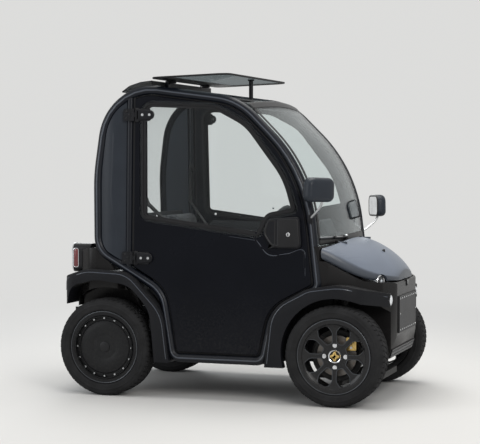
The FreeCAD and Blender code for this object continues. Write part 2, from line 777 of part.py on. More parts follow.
def side_frame():
    """The big side hoop as one closed tube, with the upright behind the door."""
    body = new_body("frame_tube")
    path = drawn(body, "XZ_Plane", "ring_path", SIDE_RING, -size("tube_radius"))
    profile = new_sketch(body, "YZ_Plane", "ring_section")
    profile.addGeometry(Part.Circle(Vector(size("tube_radius"), size("sill_height"), 0), Z_AXIS,
                                    size("tube_radius")), False)
    pipe = body.newObject("PartDesign::AdditivePipe", "ring_tube")
    pipe.Profile = profile
    pipe.Spine = (path, [])
    reach = on_side(SIDE_RING)
    post = doc.addObject("Part::Cylinder", "upright")
    bind(post, Radius="sizes.post_radius", Height="1600")
    post.Placement = Placement(Vector(size("post_x"), size("tube_radius"), 0), Rotation())
    room = doc.addObject("Part::Feature", "ring_room")
    room.Shape = reach.extrude(Vector(0, 2 * size("tube_radius"), 0))
    trimmed = doc.addObject("Part::Common", "upright_trimmed")
    trimmed.Base = post
    trimmed.Tool = room
    frame = doc.addObject("Part::Fuse", "side_frame_right")
    frame.Base = body
    frame.Tool = trimmed
    frame.Placement = side_place()
    return node(frame, "side_frame_right")


def opening_outline():
    """The outline inside the side frame that the door and the quarter panel share."""
    return inset(SIDE_RING, size("tube_radius") + size("door_gap"))


def cut_rear_of(points, x):
    """Room behind x, as a rectangle that covers the outline."""
    low = min(p[1] for p in points) - 50
    high = max(p[1] for p in points) + 50
    rear = min(p[0] for p in points) - 50
    return [(rear, low, 0), (x, low, 0), (x, high, 0), (rear, high, 0)]


def door_panel():
    """One door: full panel with its window cut out and a rebate for the glass."""
    body = new_body("door_panel_right")
    edge = opening_outline()
    deep = size("door_inset") + size("door_thickness")
    skin = drawn(body, "XZ_Plane", "door_outline", edge, -deep)
    slab = pad(body, skin, "door_slab", "sizes.door_thickness")
    round_edges(body, slab, "door_rounding", "sizes.door_edge_round",
                lambda edge_piece: lies_at_y(edge_piece, size("door_inset")))
    rear = drawn(body, "XZ_Plane", "door_rear", cut_rear_of(edge, size("door_rear_x")), -deep - 1)
    pocket(body, rear, "door_rear_cut", "sizes.door_thickness + 2", True)
    hole = drawn(body, "XZ_Plane", "door_window", WINDOW, -deep - 1)
    pocket(body, hole, "door_window_cut", "sizes.door_thickness + 2", True)
    lap = drawn(body, "XZ_Plane", "door_rebate", inset(WINDOW, -size("glass_lap")),
                -size("door_inset") - size("glass_thickness") - size("seat_gap"))
    pocket(body, lap, "door_rebate_cut", "sizes.glass_thickness + sizes.door_inset", True)
    body.Placement = side_place()
    return node(body, "door_panel_right")


def door_glass():
    """The door's glass in its rebate."""
    body = new_body("door_glass_right")
    sketch = drawn(body, "XZ_Plane", "glass_outline", inset(WINDOW, size("seat_gap") - size("glass_lap")),
                   -size("door_inset") - size("glass_thickness"))
    pad(body, sketch, "glass_sheet", "sizes.glass_thickness")
    body.Placement = side_place()
    return node(body, "door_glass_right")


def hinge_spans(height):
    """Heights of the three barrel knuckles of one hinge: frame, door, frame."""
    half = size("hinge_height") / 2
    third = size("hinge_height") / 3
    return ((height - half, height - half + third - 0.5), (height - third / 2, height + third / 2),
            (height + half - third + 0.5, height + half))


def upright_cylinder(radius, z_span):
    foot = Vector(size("hinge_x"), -size("hinge_out"), z_span[0])
    return Part.makeCylinder(radius, z_span[1] - z_span[0], foot)


def door_fittings():
    """What is bolted to the door: both hinge leaves and the latch housing."""
    leaf = size("hinge_leaf")
    pieces = []
    for height in (size("hinge_low"), size("hinge_high")):
        low, middle, high = hinge_spans(height)
        skin = size("door_inset") - size("seat_gap")
        near = size("hinge_x") + 15
        far = size("hinge_x") + size("hinge_reach")
        plate = side_prism([(near, low[0], 10), (far, low[0], 10), (far, high[1], 10), (near, high[1], 10)],
                           skin - leaf, skin)
        neck = block((size("hinge_x"), size("hinge_x") + 22), (-size("hinge_out") - 4, skin), middle)
        barrel = upright_cylinder(size("hinge_barrel_radius"), middle)
        bore = upright_cylinder(size("hinge_pin_radius") + size("bearing_gap"), (low[0] - 5, high[1] + 5))
        pieces.append(plate.fuse(neck).fuse(barrel).cut(bore).removeSplitter())
    skin = size("door_inset") - size("seat_gap")
    housing = side_prism(LATCH, skin - 16, skin)
    rim = [e for e in housing.Edges if lies_at_y(e, skin - 16)]
    pieces.append(housing.makeFillet(7, rim))
    return feature("door_fittings_right", Part.makeCompound(pieces), side_place())


def hinge_leaves():
    """What is bolted to the frame: the fixed hinge leaves with their pins, both sides."""
    pieces = []
    for height in (size("hinge_low"), size("hinge_high")):
        low, middle, high = hinge_spans(height)
        pin = upright_cylinder(size("hinge_pin_radius"), (low[0], high[1]))
        plate = side_prism([(size("hinge_x") - 54, low[0], 10), (size("hinge_x") - 9, low[0], 4),
                            (size("hinge_x") - 9, high[1], 4), (size("hinge_x") - 54, high[1], 10)],
                           -size("hinge_leaf") - size("seat_gap"), -size("seat_gap"))
        spacer = block((size("post_x") - 15, size("post_x") + 15), (-size("seat_gap") - 1, 12),
                       (low[0] + 6, high[1] - 6))
        post = Part.makeCylinder(size("post_radius") + size("seat_gap"), 200,
                                 Vector(size("post_x"), size("tube_radius"), height - 100))
        whole = plate.fuse(pin).fuse(spacer.cut(post))
        for span in (low, high):
            barrel = upright_cylinder(size("hinge_barrel_radius"), span)
            neck = block((size("hinge_x") - 16, size("hinge_x")),
                         (-size("hinge_out"), -size("seat_gap")), span)
            whole = whole.fuse(barrel).fuse(neck)
        pieces.append(whole.removeSplitter())
    right = Part.makeCompound(pieces)
    right.Placement = side_place()
    return feature("hinge_leaves", both(right))


def quarter_panels():
    """Crowned panels between the rear of the hoop and the upright, both sides."""
    edge = inset(SIDE_RING, RING_CLEAR)
    front = size("post_x") - size("post_radius") - size("seat_gap")
    region = side_prism(edge, 0, 2 * size("tube_radius"))
    keep = block((-900, front), (0, 2 * size("tube_radius")), (0, 1700))
    rear = min(p[0] for p in edge)
    near = size("quarter_inset") + size("quarter_bulge")
    back = near + size("quarter_thickness") - 8
    crown = [(rear - 40, near, 0), ((rear + front) / 2, size("quarter_inset") - 16, 150),
             (front + 30, near, 0), (front + 30, back, 0), (rear - 40, back, 0)]
    bulged = plan_prism(crown, 0, 1700)
    panel = region.common(keep).common(bulged)
    panel.Placement = side_place()
    return feature("quarter_panels", both(panel))


def ring_line(index, place, along=0):
    """The ring's straight run after a corner: its height at x, or its x at a height when along is 1."""
    start = SIDE_RING[index]
    end = SIDE_RING[(index + 1) % len(SIDE_RING)]
    share = (place - start[along]) / (end[along] - start[along])
    return start[1 - along] + share * (end[1 - along] - start[1 - along])


def bowed_sheet(path_points, bow, thickness):
    """A glass sheet: an arc in plan carried along a line of the side frame."""
    spine = Part.Wire([e.toShape() for e in outline(path_points, closed=False)])
    spine.rotate(Vector(0, 0, 0), X_AXIS, 90)
    start = spine.Vertexes[0].Point
    ahead = (spine.Edges[0].tangentAt(spine.Edges[0].FirstParameter))
    normal = Y_AXIS.cross(ahead).normalize()
    if normal.x * path_points[0][0] < 0:
        normal = normal * -1
    half = size("side_half")
    front = Part.Arc(start - Y_AXIS * half, start + normal * bow, start + Y_AXIS * half).toShape()
    back = Part.Arc(start - Y_AXIS * half - normal * thickness, start + normal * (bow - thickness),
                    start + Y_AXIS * half - normal * thickness).toShape()
    ends = [Part.makeLine(start + Y_AXIS * half * s, start + Y_AXIS * half * s - normal * thickness)
            for s in (-1, 1)]
    section = Part.Wire(Part.sortEdges([front, ends[1], back, ends[0]])[0])
    return spine.makePipeShell([section], True, False)


def between_frames(shape, depth):
    """Trim a sheet to the space between the two leaning side frames."""
    wedge = block((-1000, 1000), (depth, 1200), (-100, 1800))
    wedge.Placement = side_place()
    return shape.common(wedge).common(mirrored(wedge))


def windscreen():
    """Bowed windscreen from the cowl to the front roof rail."""
    shift = size("screen_forward")
    foot = SIDE_RING[RING_PILLAR_FOOT]
    knee = SIDE_RING[RING_PILLAR]
    brow = SIDE_RING[RING_ROOF_FRONT]
    low = size("cowl_height") + size("seat_gap")
    share = (low - foot[1]) / (knee[1] - foot[1])
    base_x = foot[0] + share * (knee[0] - foot[0])
    top_share = 0.93
    top = [knee[axis] + (brow[axis] - knee[axis]) * top_share + shift * 0.7 for axis in (0, 1)]
    path = [(base_x + shift + 1.2, low - 8, 0), (knee[0] + shift, knee[1] + 3, knee[2]), (top[0], top[1], 0)]
    sheet_solid = bowed_sheet(path, size("screen_bow"), size("screen_thickness"))
    floor = block((0, 900), (-700, 700), (0, low))
    trimmed = between_frames(sheet_solid, 2 * size("tube_radius") + size("seat_gap")).cut(floor)
    return feature("windscreen", trimmed.cut(ENVELOPES))


def rear_window():
    """Flexible rear window from the rear shell up round the hoop to the rear roof rail."""
    rear = SIDE_RING[0]
    top = SIDE_RING[RING_ROOF_REAR]
    brow = SIDE_RING[RING_ROOF_FRONT]
    share = 0.45
    end = (top[0] + (brow[0] - top[0]) * share, top[1] + (brow[1] - top[1]) * share)
    path = [(rear[0], rear[1] - 340, 0), tuple(rear), tuple(top), (end[0], end[1], 0)]
    sheet_solid = bowed_sheet(path, 14, size("screen_thickness"))
    trimmed = between_frames(sheet_solid, 2 * size("tube_radius") + size("seat_gap"))
    front_room = block((size("panel_hinge_x") - 34, 200), (-700, 700), (1200, 1700))
    return feature("rear_window", trimmed.cut(front_room).cut(ENVELOPES))


def roof_rails():
    """Front and rear cross rails between the two side frames."""
    slope = math.atan2(SIDE_RING[RING_ROOF_REAR][1] - SIDE_RING[RING_ROOF_FRONT][1],
                       SIDE_RING[RING_ROOF_FRONT][0] - SIDE_RING[RING_ROOF_REAR][0])
    inner = size("side_half") - 20
    rails = []
    for x, width, drop in ((size("header_x"), size("header_width"), 16), (size("panel_hinge_x"), 44, 0)):
        z = ring_line(RING_ROOF_REAR, x) - drop
        depth = size("rail_depth")
        rail = side_prism([(-width / 2, -depth / 2, 9), (width / 2, -depth / 2, 9), (width / 2, depth / 2, 9),
                           (-width / 2, depth / 2, 9)], -inner, inner)
        tilt = math.degrees(slope) + (8 if drop else 0)
        rail.Placement = Placement(Vector(x, 0, z), Rotation(Y_AXIS, tilt))
        rails.append(rail)
    stay_x = stay_place()
    fork_z = rails[0].BoundBox.ZMin + 14
    slot = size("stay_radius") + size("stay_gap")
    fork = block((stay_x - 12, size("header_x") - size("header_width") / 2 + 12), (-slot - 9, slot + 9),
                 (fork_z, fork_z + 8))
    fork = fork.cut(block((stay_x - 20, stay_x + slot), (-slot, slot), (fork_z - 5, fork_z + 20)))
    rails[0] = rails[0].fuse(fork)
    hinge_z = size("panel_hinge_z")
    hinge_x = size("panel_hinge_x")
    for side in (-1, 1):
        y = side * 250
        ear = block((hinge_x - 9, hinge_x + 9), (y - 14, y + 14), (rails[1].BoundBox.ZMax - 12, hinge_z + 7))
        lug_room = block((hinge_x - 20, hinge_x + 20), (y - 7, y + 7), (hinge_z - 11, hinge_z + 20))
        pin = y_cylinder(hinge_x, hinge_z, 4, y - 14, y + 14)
        rails[1] = rails[1].fuse(ear.cut(lug_room).fuse(pin))
    trimmed = [max(rail.cut(ENVELOPES).removeSplitter().Solids, key=lambda s: s.Volume) for rail in rails]
    return feature("roof_rails", Part.makeCompound(trimmed))


def roof_panel():
    """Propped glass roof panel, hinged on the rear rail, with its central stay."""
    hinge_x = size("panel_hinge_x")
    hinge_z = size("panel_hinge_z")
    length = size("panel_length")
    half = size("panel_half")
    glass = plan_prism([(hinge_x + 4, -half, 40), (hinge_x + length, -half, 60), (hinge_x + length, half, 60),
                        (hinge_x + 4, half, 40)], hinge_z + 9, hinge_z + 9 + size("panel_thickness"))
    lugs = []
    for side in (-1, 1):
        y = side * 250
        lug = block((hinge_x - 7, hinge_x + 44), (y - 6.5, y + 6.5), (hinge_z - 6, hinge_z + 9))
        lugs.append(lug.cut(y_cylinder(hinge_x, hinge_z, 4 + size("bearing_gap"), y - 20, y + 20)))
    swing = Placement(Vector(0, 0, 0), Rotation(Y_AXIS, -size("panel_rise")), Vector(hinge_x, 0, hinge_z))
    glass.Placement = swing
    frame_piece = Part.makeCompound(lugs)
    frame_piece.Placement = swing
    stay_x = stay_place()
    head = Vector(stay_x, 0, hinge_z + 8 + (stay_x - hinge_x) * math.tan(math.radians(size("panel_rise"))))
    foot = Vector(stay_x, 0, ring_line(RING_ROOF_REAR, stay_x) - 40)
    knob = Part.makeCylinder(17, 16, head + Vector(0, 0, -6), Z_AXIS)
    stay = rod(foot, head, size("stay_radius")).fuse(knob).cut(glass)
    below = max(stay.Solids, key=lambda s: s.Volume)
    feature("roof_panel", glass.copy())
    feature("roof_lugs", frame_piece)
    return feature("roof_stay", below.removeSplitter())


def roof_cap():
    """Moulded cap between the panel's hinge and the rear window, with its foot on the rear rail."""
    rail_top = ring_line(RING_ROOF_REAR, size("panel_hinge_x")) + size("rail_depth") / 2 + 4
    front = size("panel_hinge_x") - 12
    skin = size("cap_skin")
    crown = [(-532, 1541, 0), (-490, 1570, 60), (-430, 1588, 60), (front, 1595, 4)]
    below = [(front, rail_top, 0), (front - skin, rail_top, 0), (front - skin, 1595 - skin, 4),
             (-430, 1588 - skin, 60), (-488, 1570 - skin, 60), (-528, 1541 - skin, 0)]
    cap = side_prism(crown + below, -size("cap_half"), size("cap_half"))
    keep = max(cap.cut(ENVELOPES).removeSplitter().Solids, key=lambda s: s.Volume)
    return feature("roof_cap", keep.cut(made("roof_rails")))


def stay_place():
    """The roof stay's place, behind the front rail."""
    return size("header_x") - size("header_width") / 2 - size("stay_radius") - 2 * size("stay_gap")


def arch_room(x, inner_half):
    """Room for a wheel on both sides, outboard of a half width."""
    radius = size("tyre_radius") + size("arch_gap")
    right = y_cylinder(x, WHEEL_Z, radius, -900, -inner_half)
    below = block((x - radius, x + radius), (-900, -inner_half), (-50, WHEEL_Z))
    return both(right.fuse(below))


def front_form(wall):
    """Outer form of the front shell, or its hollow when a wall is given."""
    plan = mirrored_plan(SHELL_PLAN)
    if wall:
        plan = inset(plan, wall)
    return plan_prism(plan, 100, 900)


def cowl_form(grow):
    """The cowl's plan: straight behind, bowed in front, grown by a gap."""
    corner_x = size("cowl_front_x") + grow
    half = size("side_half") + 40
    bow = size("cowl_bow")
    left = Vector(corner_x - 12, half, 0)
    right = Vector(corner_x - 12, -half, 0)
    arc = Part.Arc(left, Vector(corner_x + bow, 0, 0), right)
    ends = [Vector(400, -half, 0), Vector(400, half, 0)]
    wire = Part.Wire([arc.toShape(), Part.makeLine(right, ends[0]), Part.makeLine(ends[0], ends[1]),
                      Part.makeLine(ends[1], left)])
    face = Part.Face(wire)
    face.translate(Vector(0, 0, 560))
    return face.extrude(Vector(0, 0, 260))


def front_shell():
    """Nose shell: cowl, shoulders over the wheels and open luggage tray under the hood."""
    cowl = front_form(0).common(cowl_form(0))
    cowl = cowl.common(block((SHELL_PLAN[0][0], 700), (-600, 600), (600, size("cowl_height"))))
    solid = front_form(0).common(side_prism(SHELL_SIDE, -600, 600)).fuse(cowl)
    wall = size("shell_wall")
    tray_rear = size("cowl_front_x") + size("cowl_bow") + wall
    tray = front_form(wall).common(block((tray_rear, 806), (-600, 600), (230 + wall, 900)))
    tray = tray.fuse(front_form(wall).common(block((800, 838), (-600, 600), (SHELL_SIDE[4][1], 900))))
    arch_inner = -size("well_half_front") + wall
    arch = size("tyre_radius") + size("arch_gap") + wall
    over = both(y_cylinder(WHEEL_FRONT_X, WHEEL_Z, arch, -900, arch_inner))
    low = both(block((WHEEL_FRONT_X - 320, WHEEL_FRONT_X + 320), (-900, arch_inner), (-50, WHEEL_Z)))
    shelf = both(block((size("headlamp_x") - 92, 900), (-size("headlamp_y") - 46, -size("headlamp_y") + 46),
                       (560, 900)))
    tray = tray.cut(over).cut(low).cut(shelf)
    footwell = block((400, 540), (-600, 600), (100, 560))
    solid = solid.cut(tray).cut(arch_room(WHEEL_FRONT_X, size("well_half_front"))).cut(footwell)
    solid = solid.cut(door_rooms()).cut(ENVELOPES)
    strut_room = both(rod(Vector(WHEEL_FRONT_X, -size("kingpin_top_y") - 20, size("kingpin_top_z") - 120),
                          Vector(WHEEL_FRONT_X, -size("kingpin_top_y"), size("kingpin_top_z") + 0.3), 46))
    hinge_x = size("hood_hinge_x")
    hinge_z = size("hood_hinge_z")
    for side in (-1, 1):
        y = side * size("hood_hinge_y")
        bracket = block((hinge_x - 7, hinge_x + 7), (y - 14, y - 6), (size("cowl_height") - 20, hinge_z + 7))
        pin = y_cylinder(hinge_x, hinge_z, 4, y - 14, y + 6)
        solid = solid.fuse(bracket.fuse(pin))
    solid = solid.cut(strut_room).removeSplitter()
    biggest = max(solid.Solids, key=lambda s: s.Volume)
    return feature("front_shell", biggest)


def hood_loft(shrink, lift):
    """Crowned lid between its stations; shrink draws it in and lift lowers its lip."""
    wires = []
    last = len(HOOD_STATIONS) - 1
    for index, (x, half, lip, edge, crown) in enumerate(HOOD_STATIONS):
        station = x + shrink if index == 0 else x
        if index == last:
            station = x - shrink
        w = half - shrink
        base = lip - lift
        top = edge - shrink
        side = min(12, (top - base) / 3)
        right = Part.Arc(Vector(station, -w + side, base), Vector(station, -w, (base + top) / 2),
                         Vector(station, -w + side, top)).toShape()
        roof = Part.Arc(Vector(station, -w + side, top), Vector(station, 0, crown - shrink),
                        Vector(station, w - side, top)).toShape()
        left = Part.Arc(Vector(station, w - side, top), Vector(station, w, (base + top) / 2),
                        Vector(station, w - side, base)).toShape()
        floor = Part.makeLine(Vector(station, w - side, base), Vector(station, -w + side, base))
        wires.append(Part.Wire([right, roof, left, floor]))
    return Part.makeLoft(wires, True, False)


def hood():
    """Hood lid, hollow below, with room for the headlamps and hinge lugs at its rear edge."""
    lid = hood_loft(0, 0).cut(hood_loft(size("hood_wall"), 40))
    lamp_start = Vector(size("headlamp_x") - 60, -size("headlamp_y"), size("headlamp_z"))
    lamp_room = both(Part.makeCylinder(size("lamp_radius") + size("hood_gap"), 160, lamp_start, X_AXIS))
    hinge_x = size("hood_hinge_x")
    hinge_z = size("hood_hinge_z")
    lid = lid.cut(lamp_room).cut(cowl_form(size("hood_gap")))
    for side in (-1, 1):
        y = side * size("hood_hinge_y")
        lug = block((hinge_x, hinge_x + 50), (y - 4, y + 6), (hinge_z - 7, hinge_z + 3))
        eye = y_cylinder(hinge_x, hinge_z, 7, y - 4, y + 6)
        bore = y_cylinder(hinge_x, hinge_z, 4 + size("bearing_gap"), y - 30, y + 30)
        lid = lid.fuse(lug.fuse(eye)).cut(bore)
    biggest = max(lid.removeSplitter().Solids, key=lambda s: s.Volume)
    return feature("hood", biggest)


def lip_room(x, forward, raise_by, radius):
    """Wheel opening cut through a fender."""
    return y_cylinder(x + forward, WHEEL_Z + raise_by, radius, -900, 0)


def arched_cutter(form, side, x, inner_half):
    """A shell's outside grown by the seating gap, with its wheel arches left open."""
    gap = size("seat_gap")
    radius = size("tyre_radius") + size("arch_gap") - gap
    whole = form(-gap).common(side_prism(inset(side, -gap), -600, 600))
    wheel = y_cylinder(x, WHEEL_Z, radius, -900, -inner_half - gap)
    below = block((x - radius, x + radius), (-900, -inner_half - gap), (-50, WHEEL_Z))
    return whole.cut(wheel).cut(below)


def front_fenders():
    """Front arch mouldings, swept in towards the nose."""
    outer = size("fender_half")
    inner = WHEELHOUSE_OUT + size("seat_gap")
    plan = [(200, -inner, 0), (200, -outer, 10), (700, -outer, 150), (852, -282, 20), (640, -282, 0),
            (560, -400, 0), (545, -inner, 0)]
    solid = side_prism(FRONT_FENDER, -outer, -200).common(plan_prism(plan, 100, 700))
    radius = size("tyre_radius") + size("lip_gap")
    opening = lip_room(WHEEL_FRONT_X, size("lip_forward"), size("lip_raise"), radius)
    arch = size("tyre_radius") + size("arch_gap")
    steered = y_cylinder(WHEEL_FRONT_X, WHEEL_Z, arch, -outer + size("lip_depth"), 0)
    below = block((WHEEL_FRONT_X - arch, WHEEL_FRONT_X), (-outer + size("lip_depth"), 0), (-50, WHEEL_Z))
    behind = block((0, WHEEL_FRONT_X), (-outer, 0), (-50, 900))
    solid = solid.cut(opening).cut(steered.fuse(below).common(behind))
    solid = solid.cut(arched_cutter(front_form, SHELL_SIDE, WHEEL_FRONT_X, size("well_half_front")))
    lamp = Part.makeCylinder(size("lamp_radius") + size("seat_gap"), 300,
                             Vector(700, -size("turn_lamp_y"), size("turn_lamp_z")), X_AXIS)
    solid = solid.cut(ENVELOPES).cut(lamp)
    biggest = max(solid.removeSplitter().Solids, key=lambda s: s.Volume)
    return feature("front_fenders", both(biggest))


def rear_form(wall):
    plan = mirrored_plan(REAR_PLAN)
    if wall:
        plan = inset(plan, wall)
    return plan_prism(plan, 100, 900)


def rear_fenders():
    """Rear arch mouldings."""
    outer = size("fender_half")
    plan = [(-200, -430, 0), (-200, -outer, 10), (-806, -outer, 60), (-847, -420, 20), (-847, -360, 0),
            (-500, -360, 0), (-460, -394, 0), (-300, -394, 0)]
    solid = side_prism(REAR_FENDER, -outer, -200).common(plan_prism(plan, 100, 700))
    shell = arched_cutter(rear_form, REAR_SIDE, WHEEL_REAR_X, size("well_half_rear"))
    solid = solid.cut(shell).cut(ENVELOPES)
    biggest = max(solid.removeSplitter().Solids, key=lambda s: s.Volume)
    return feature("rear_fenders", both(biggest))


def rear_shell():
    """Tail shell with an open luggage well and arches for the rear wheels."""
    solid = rear_form(0).common(side_prism(REAR_SIDE, -600, 600))
    side = size("well_half_rear") - size("shell_wall")
    well = block((-790, REAR_PLAN[0][0] - size("shell_wall")), (-side, side), (312 + size("shell_wall"), 900))
    well = well.common(rear_form(size("shell_wall")))
    frames = door_rooms()
    solid = solid.cut(well).cut(arch_room(WHEEL_REAR_X, size("well_half_rear"))).cut(frames).cut(ENVELOPES)
    biggest = max(solid.removeSplitter().Solids, key=lambda s: s.Volume)
    return feature("rear_shell", biggest)


def grown_tail():
    """The rear shell's outside grown by the seating gap."""
    gap = size("seat_gap")
    return rear_form(-gap).common(side_prism(inset(REAR_SIDE, -gap), -600, 600))


def rear_bumper():
    """Rear bumper bar with two screw holes for a plate."""
    seat = -806
    tail = -NOSE_X
    plan = mirrored_plan([(seat + 60, 400, 0), (seat + 10, 430, 30), (tail, 300, 60)])
    bar = plan_prism(plan, 330, 430).common(side_prism(
        [(seat + 60, 330, 0), (tail, 330, 18), (tail, 430, 18), (seat + 60, 430, 0)], -500, 500))
    bar = bar.cut(grown_tail())
    arch = arch_room(WHEEL_REAR_X, size("well_half_rear") - 2)
    bar = bar.cut(arch)
    for side in (-1, 1):
        hole_at = Vector(tail - 1, side * size("plate_hole_pitch") / 2, 390)
        hole = Part.makeCylinder(size("plate_hole_radius"), 22, hole_at, X_AXIS)
        bar = bar.cut(hole)
    biggest = max(bar.removeSplitter().Solids, key=lambda s: s.Volume)
    return feature("rear_bumper", biggest)


def floor_pan():
    """Floor tray between the sills, narrower where the wheels are."""
    side = size("side_half") - 60
    front = size("well_half_front") - 2
    rear = size("well_half_rear") - 30
    plan = mirrored_plan([(size("floor_rear_x"), rear, 20), (-290, rear, 20), (-230, side, 30),
                          (236, side, 30), (300, front, 30), (536, front, 10)])
    low = size("floor_low")
    high = low + size("floor_thickness")
    tray = plan_prism(plan, low, high)
    room = plan_prism(inset(plan, 10), low + 12, high + 10)
    tray = tray.cut(room)
    rear_x = size("floor_rear_x")
    step_top = 312
    riser = block((rear_x, rear_x + 12), (-rear + 4, rear - 4), (low + 2, step_top))
    step = block((REAR_PLAN[0][0] + size("seat_gap"), rear_x + 12), (-rear + 4, rear - 4),
                 (step_top - size("shell_wall"), step_top))
    pads = both(block((-40, 40), (-400, -360), (low - 4, low + 2)))
    return feature("floor_pan", tray.fuse(riser).fuse(step).fuse(pads).cut(ENVELOPES).removeSplitter())


def wheelhouses():
    """Walls that close the cabin off from the wheels, both sides."""
    radius = size("tyre_radius") + size("arch_gap")
    inner = size("well_half_front")
    wall = size("shell_wall")
    top = size("floor_low") + size("floor_thickness") + size("seat_gap")
    full = y_cylinder(WHEEL_FRONT_X, WHEEL_Z, radius + wall, -WHEELHOUSE_OUT, -inner + wall)
    hollow = y_cylinder(WHEEL_FRONT_X, WHEEL_Z, radius, -900, -inner)
    keep = block((240, 535), (-600, 600), (top, 559))
    panel = full.cut(hollow).common(keep).cut(ENVELOPES)
    front_wall = max(panel.removeSplitter().Solids, key=lambda s: s.Volume)
    inner = size("well_half_rear")
    full = y_cylinder(WHEEL_REAR_X, WHEEL_Z, radius + wall, -393, -inner + wall)
    hollow = y_cylinder(WHEEL_REAR_X, WHEEL_Z, radius, -900, -inner)
    keep = block((REAR_PLAN[0][0] + size("seat_gap"), 0), (-600, 600), (290, size("cushion_low") - 4))
    rear_wall = max(full.cut(hollow).common(keep).removeSplitter().Solids, key=lambda s: s.Volume)
    return feature("wheelhouses", Part.makeCompound([both(front_wall), both(rear_wall)]))


def rivet_plate():
    """Blank front plate held by rows of rivets."""
    half = size("plate_half")
    back = SHELL_PLAN[-1][0] + size("seat_gap")
    body = new_body("front_plate")
    plan = mirrored_plan([(back, half, 0), (NOSE_X, half, 3)])
    sketch = drawn(body, "XY_Plane", "plate_plan", plan, size("plate_low"))
    pad(body, sketch, "plate_sheet", "sizes.plate_high - sizes.plate_low")
    return node(body, "front_plate")


def front_grille():
    """Lower air grille with rows of slots."""
    plate = block((0, 6), (-250, 250), (0, 46))
    slots = [block((-5, 15), (column * 26 - 10, column * 26 + 10), (6 + row * 12, 14 + row * 12))
             for row in range(3) for column in range(-9, 10)]
    plate = plate.cut(Part.makeCompound(slots))
    brow, chin = SHELL_SIDE[4], SHELL_SIDE[5]
    lean = (brow[0] - chin[0]) / (brow[1] - chin[1])
    slope = math.degrees(math.atan(lean))
    out = size("seat_gap") / math.cos(math.radians(slope))
    start = 218
    foot = chin[0] + (start - chin[1]) * lean + out
    return feature("front_grille", plate, Placement(Vector(foot, 0, start), Rotation(Y_AXIS, slope)))


def front_lamps():
    """Round headlamps and turn lamps, both sides."""
    gap = size("seat_gap")
    shell = front_form(-gap).common(side_prism(inset(SHELL_SIDE, -gap), -600, 600))
    lamps = []
    for x, y, z in ((size("headlamp_x"), size("headlamp_y"), size("headlamp_z")),
                    (832, size("turn_lamp_y"), size("turn_lamp_z"))):
        body = Part.makeCylinder(size("lamp_radius"), 70, Vector(x - 70, -y, z), X_AXIS)
        front = [e for e in body.Edges if e.BoundBox.XMin > x - 0.01]
        body = body.makeFillet(7, front)
        body = body.cut(shell)
        lamps.append(max(body.Solids, key=lambda s: s.BoundBox.XMax))
    return feature("front_lamps", both(Part.makeCompound(lamps)))


def tail_lamps():
    """Stacked round tail lamps in an upright housing, both sides."""
    wide = size("tail_lamp_width")
    tall = size("tail_lamp_height")
    deep = size("tail_lamp_depth")
    y = size("tail_lamp_y")
    z = size("tail_lamp_z")
    case = block((-817, -817 + deep + 40), (-y - wide / 2, -y + wide / 2), (z - tall / 2, z + tall / 2))
    upright = [e for e in case.Edges if e.BoundBox.XLength > 10]
    case = case.makeFillet(30, upright)
    for low in (z - tall / 4 + 2, z + tall / 4 - 2):
        case = case.fuse(Part.makeCylinder(27, 8, Vector(-825, -y, low), X_AXIS))
    case = case.cut(grown_tail())
    lamp = min(case.Solids, key=lambda s: s.BoundBox.XMin)
    return feature("tail_lamps", both(lamp.removeSplitter()))


def cushion_block(length, width, height, rounding):
    """A rounded block whose lower rear corner is its origin."""
    body = block((0, length), (0, width), (0, height))
    return body.makeFillet(rounding, body.Edges)


def back_place():
    """Lower front edge of the seat backs, leaning back."""
    foot = Vector(size("cushion_front_x") - size("cushion_length") - 4, 0, size("cushion_low") + 10)
    return Placement(foot, Rotation(Y_AXIS, -size("back_lean")))


def plain_box(label, x_span, y_half, z_span, base=Placement()):
    """A box across the middle of the car, as an object of its own."""
    box = doc.addObject("Part::Box", label)
    bind(box, Length=str(x_span[1] - x_span[0]), Width=str(2 * y_half), Height=str(z_span[1] - z_span[0]))
    box.Placement = base.multiply(Placement(Vector(x_span[0], -y_half, z_span[0]), Rotation()))
    return box


def seats():
    """Battery, seat box, two cushions and two backs."""
    low = size("floor_low") + 12 + size("seat_gap")
    box_top = size("cushion_low") - size("seat_gap")
    front = size("cushion_front_x") - 40
    rear = size("floor_rear_x") + 14
    half = 310
    wall = 14
    ledge_wall = 25
    shell = doc.addObject("Part::Cut", "seat_box_shell")
    shell.Base = plain_box("seat_box_outside", (rear, front), half, (low, box_top))
    shell.Tool = plain_box("seat_box_inside", (rear + wall, front - wall), half - wall,
                           (low - 1, box_top - wall))
    under = -size("seat_gap")
    ledge = plain_box("back_ledge", (-60, -2), half, (under - ledge_wall, under), back_place())
    bridge = plain_box("ledge_bridge", (rear - 20, rear + wall), half, (box_top - 22, box_top))
    seat_box = doc.addObject("Part::MultiFuse", "seat_box")
    seat_box.Shapes = [shell, ledge, bridge]
    seat_box.Refine = True
    node(seat_box, "seat_box")
    case = plain_box("battery_case", (rear + 24, front - 40), 250, (low, 400))
    doc.recompute()
    battery = doc.addObject("Part::Fillet", "battery_block")
    battery.Base = case
    battery.Edges = [(index + 1, 12.0, 12.0) for index in range(len(case.Shape.Edges))]
    node(battery, "battery_block")
    cushion = cushion_block(size("cushion_length"), size("seat_width"), size("cushion_height"), 30)
    cushion.translate(Vector(size("cushion_front_x") - size("cushion_length"),
                             -size("seat_split") - size("seat_width"), size("cushion_low")))
    feature("seat_cushions", both(cushion))
    back = cushion_block(size("back_thickness"), size("seat_width"), size("back_height"), 30)
    back.translate(Vector(-size("back_thickness"), -size("seat_split") - size("seat_width"), 0))
    back.Placement = back_place().multiply(back.Placement)
    return feature("seat_backs", both(back))


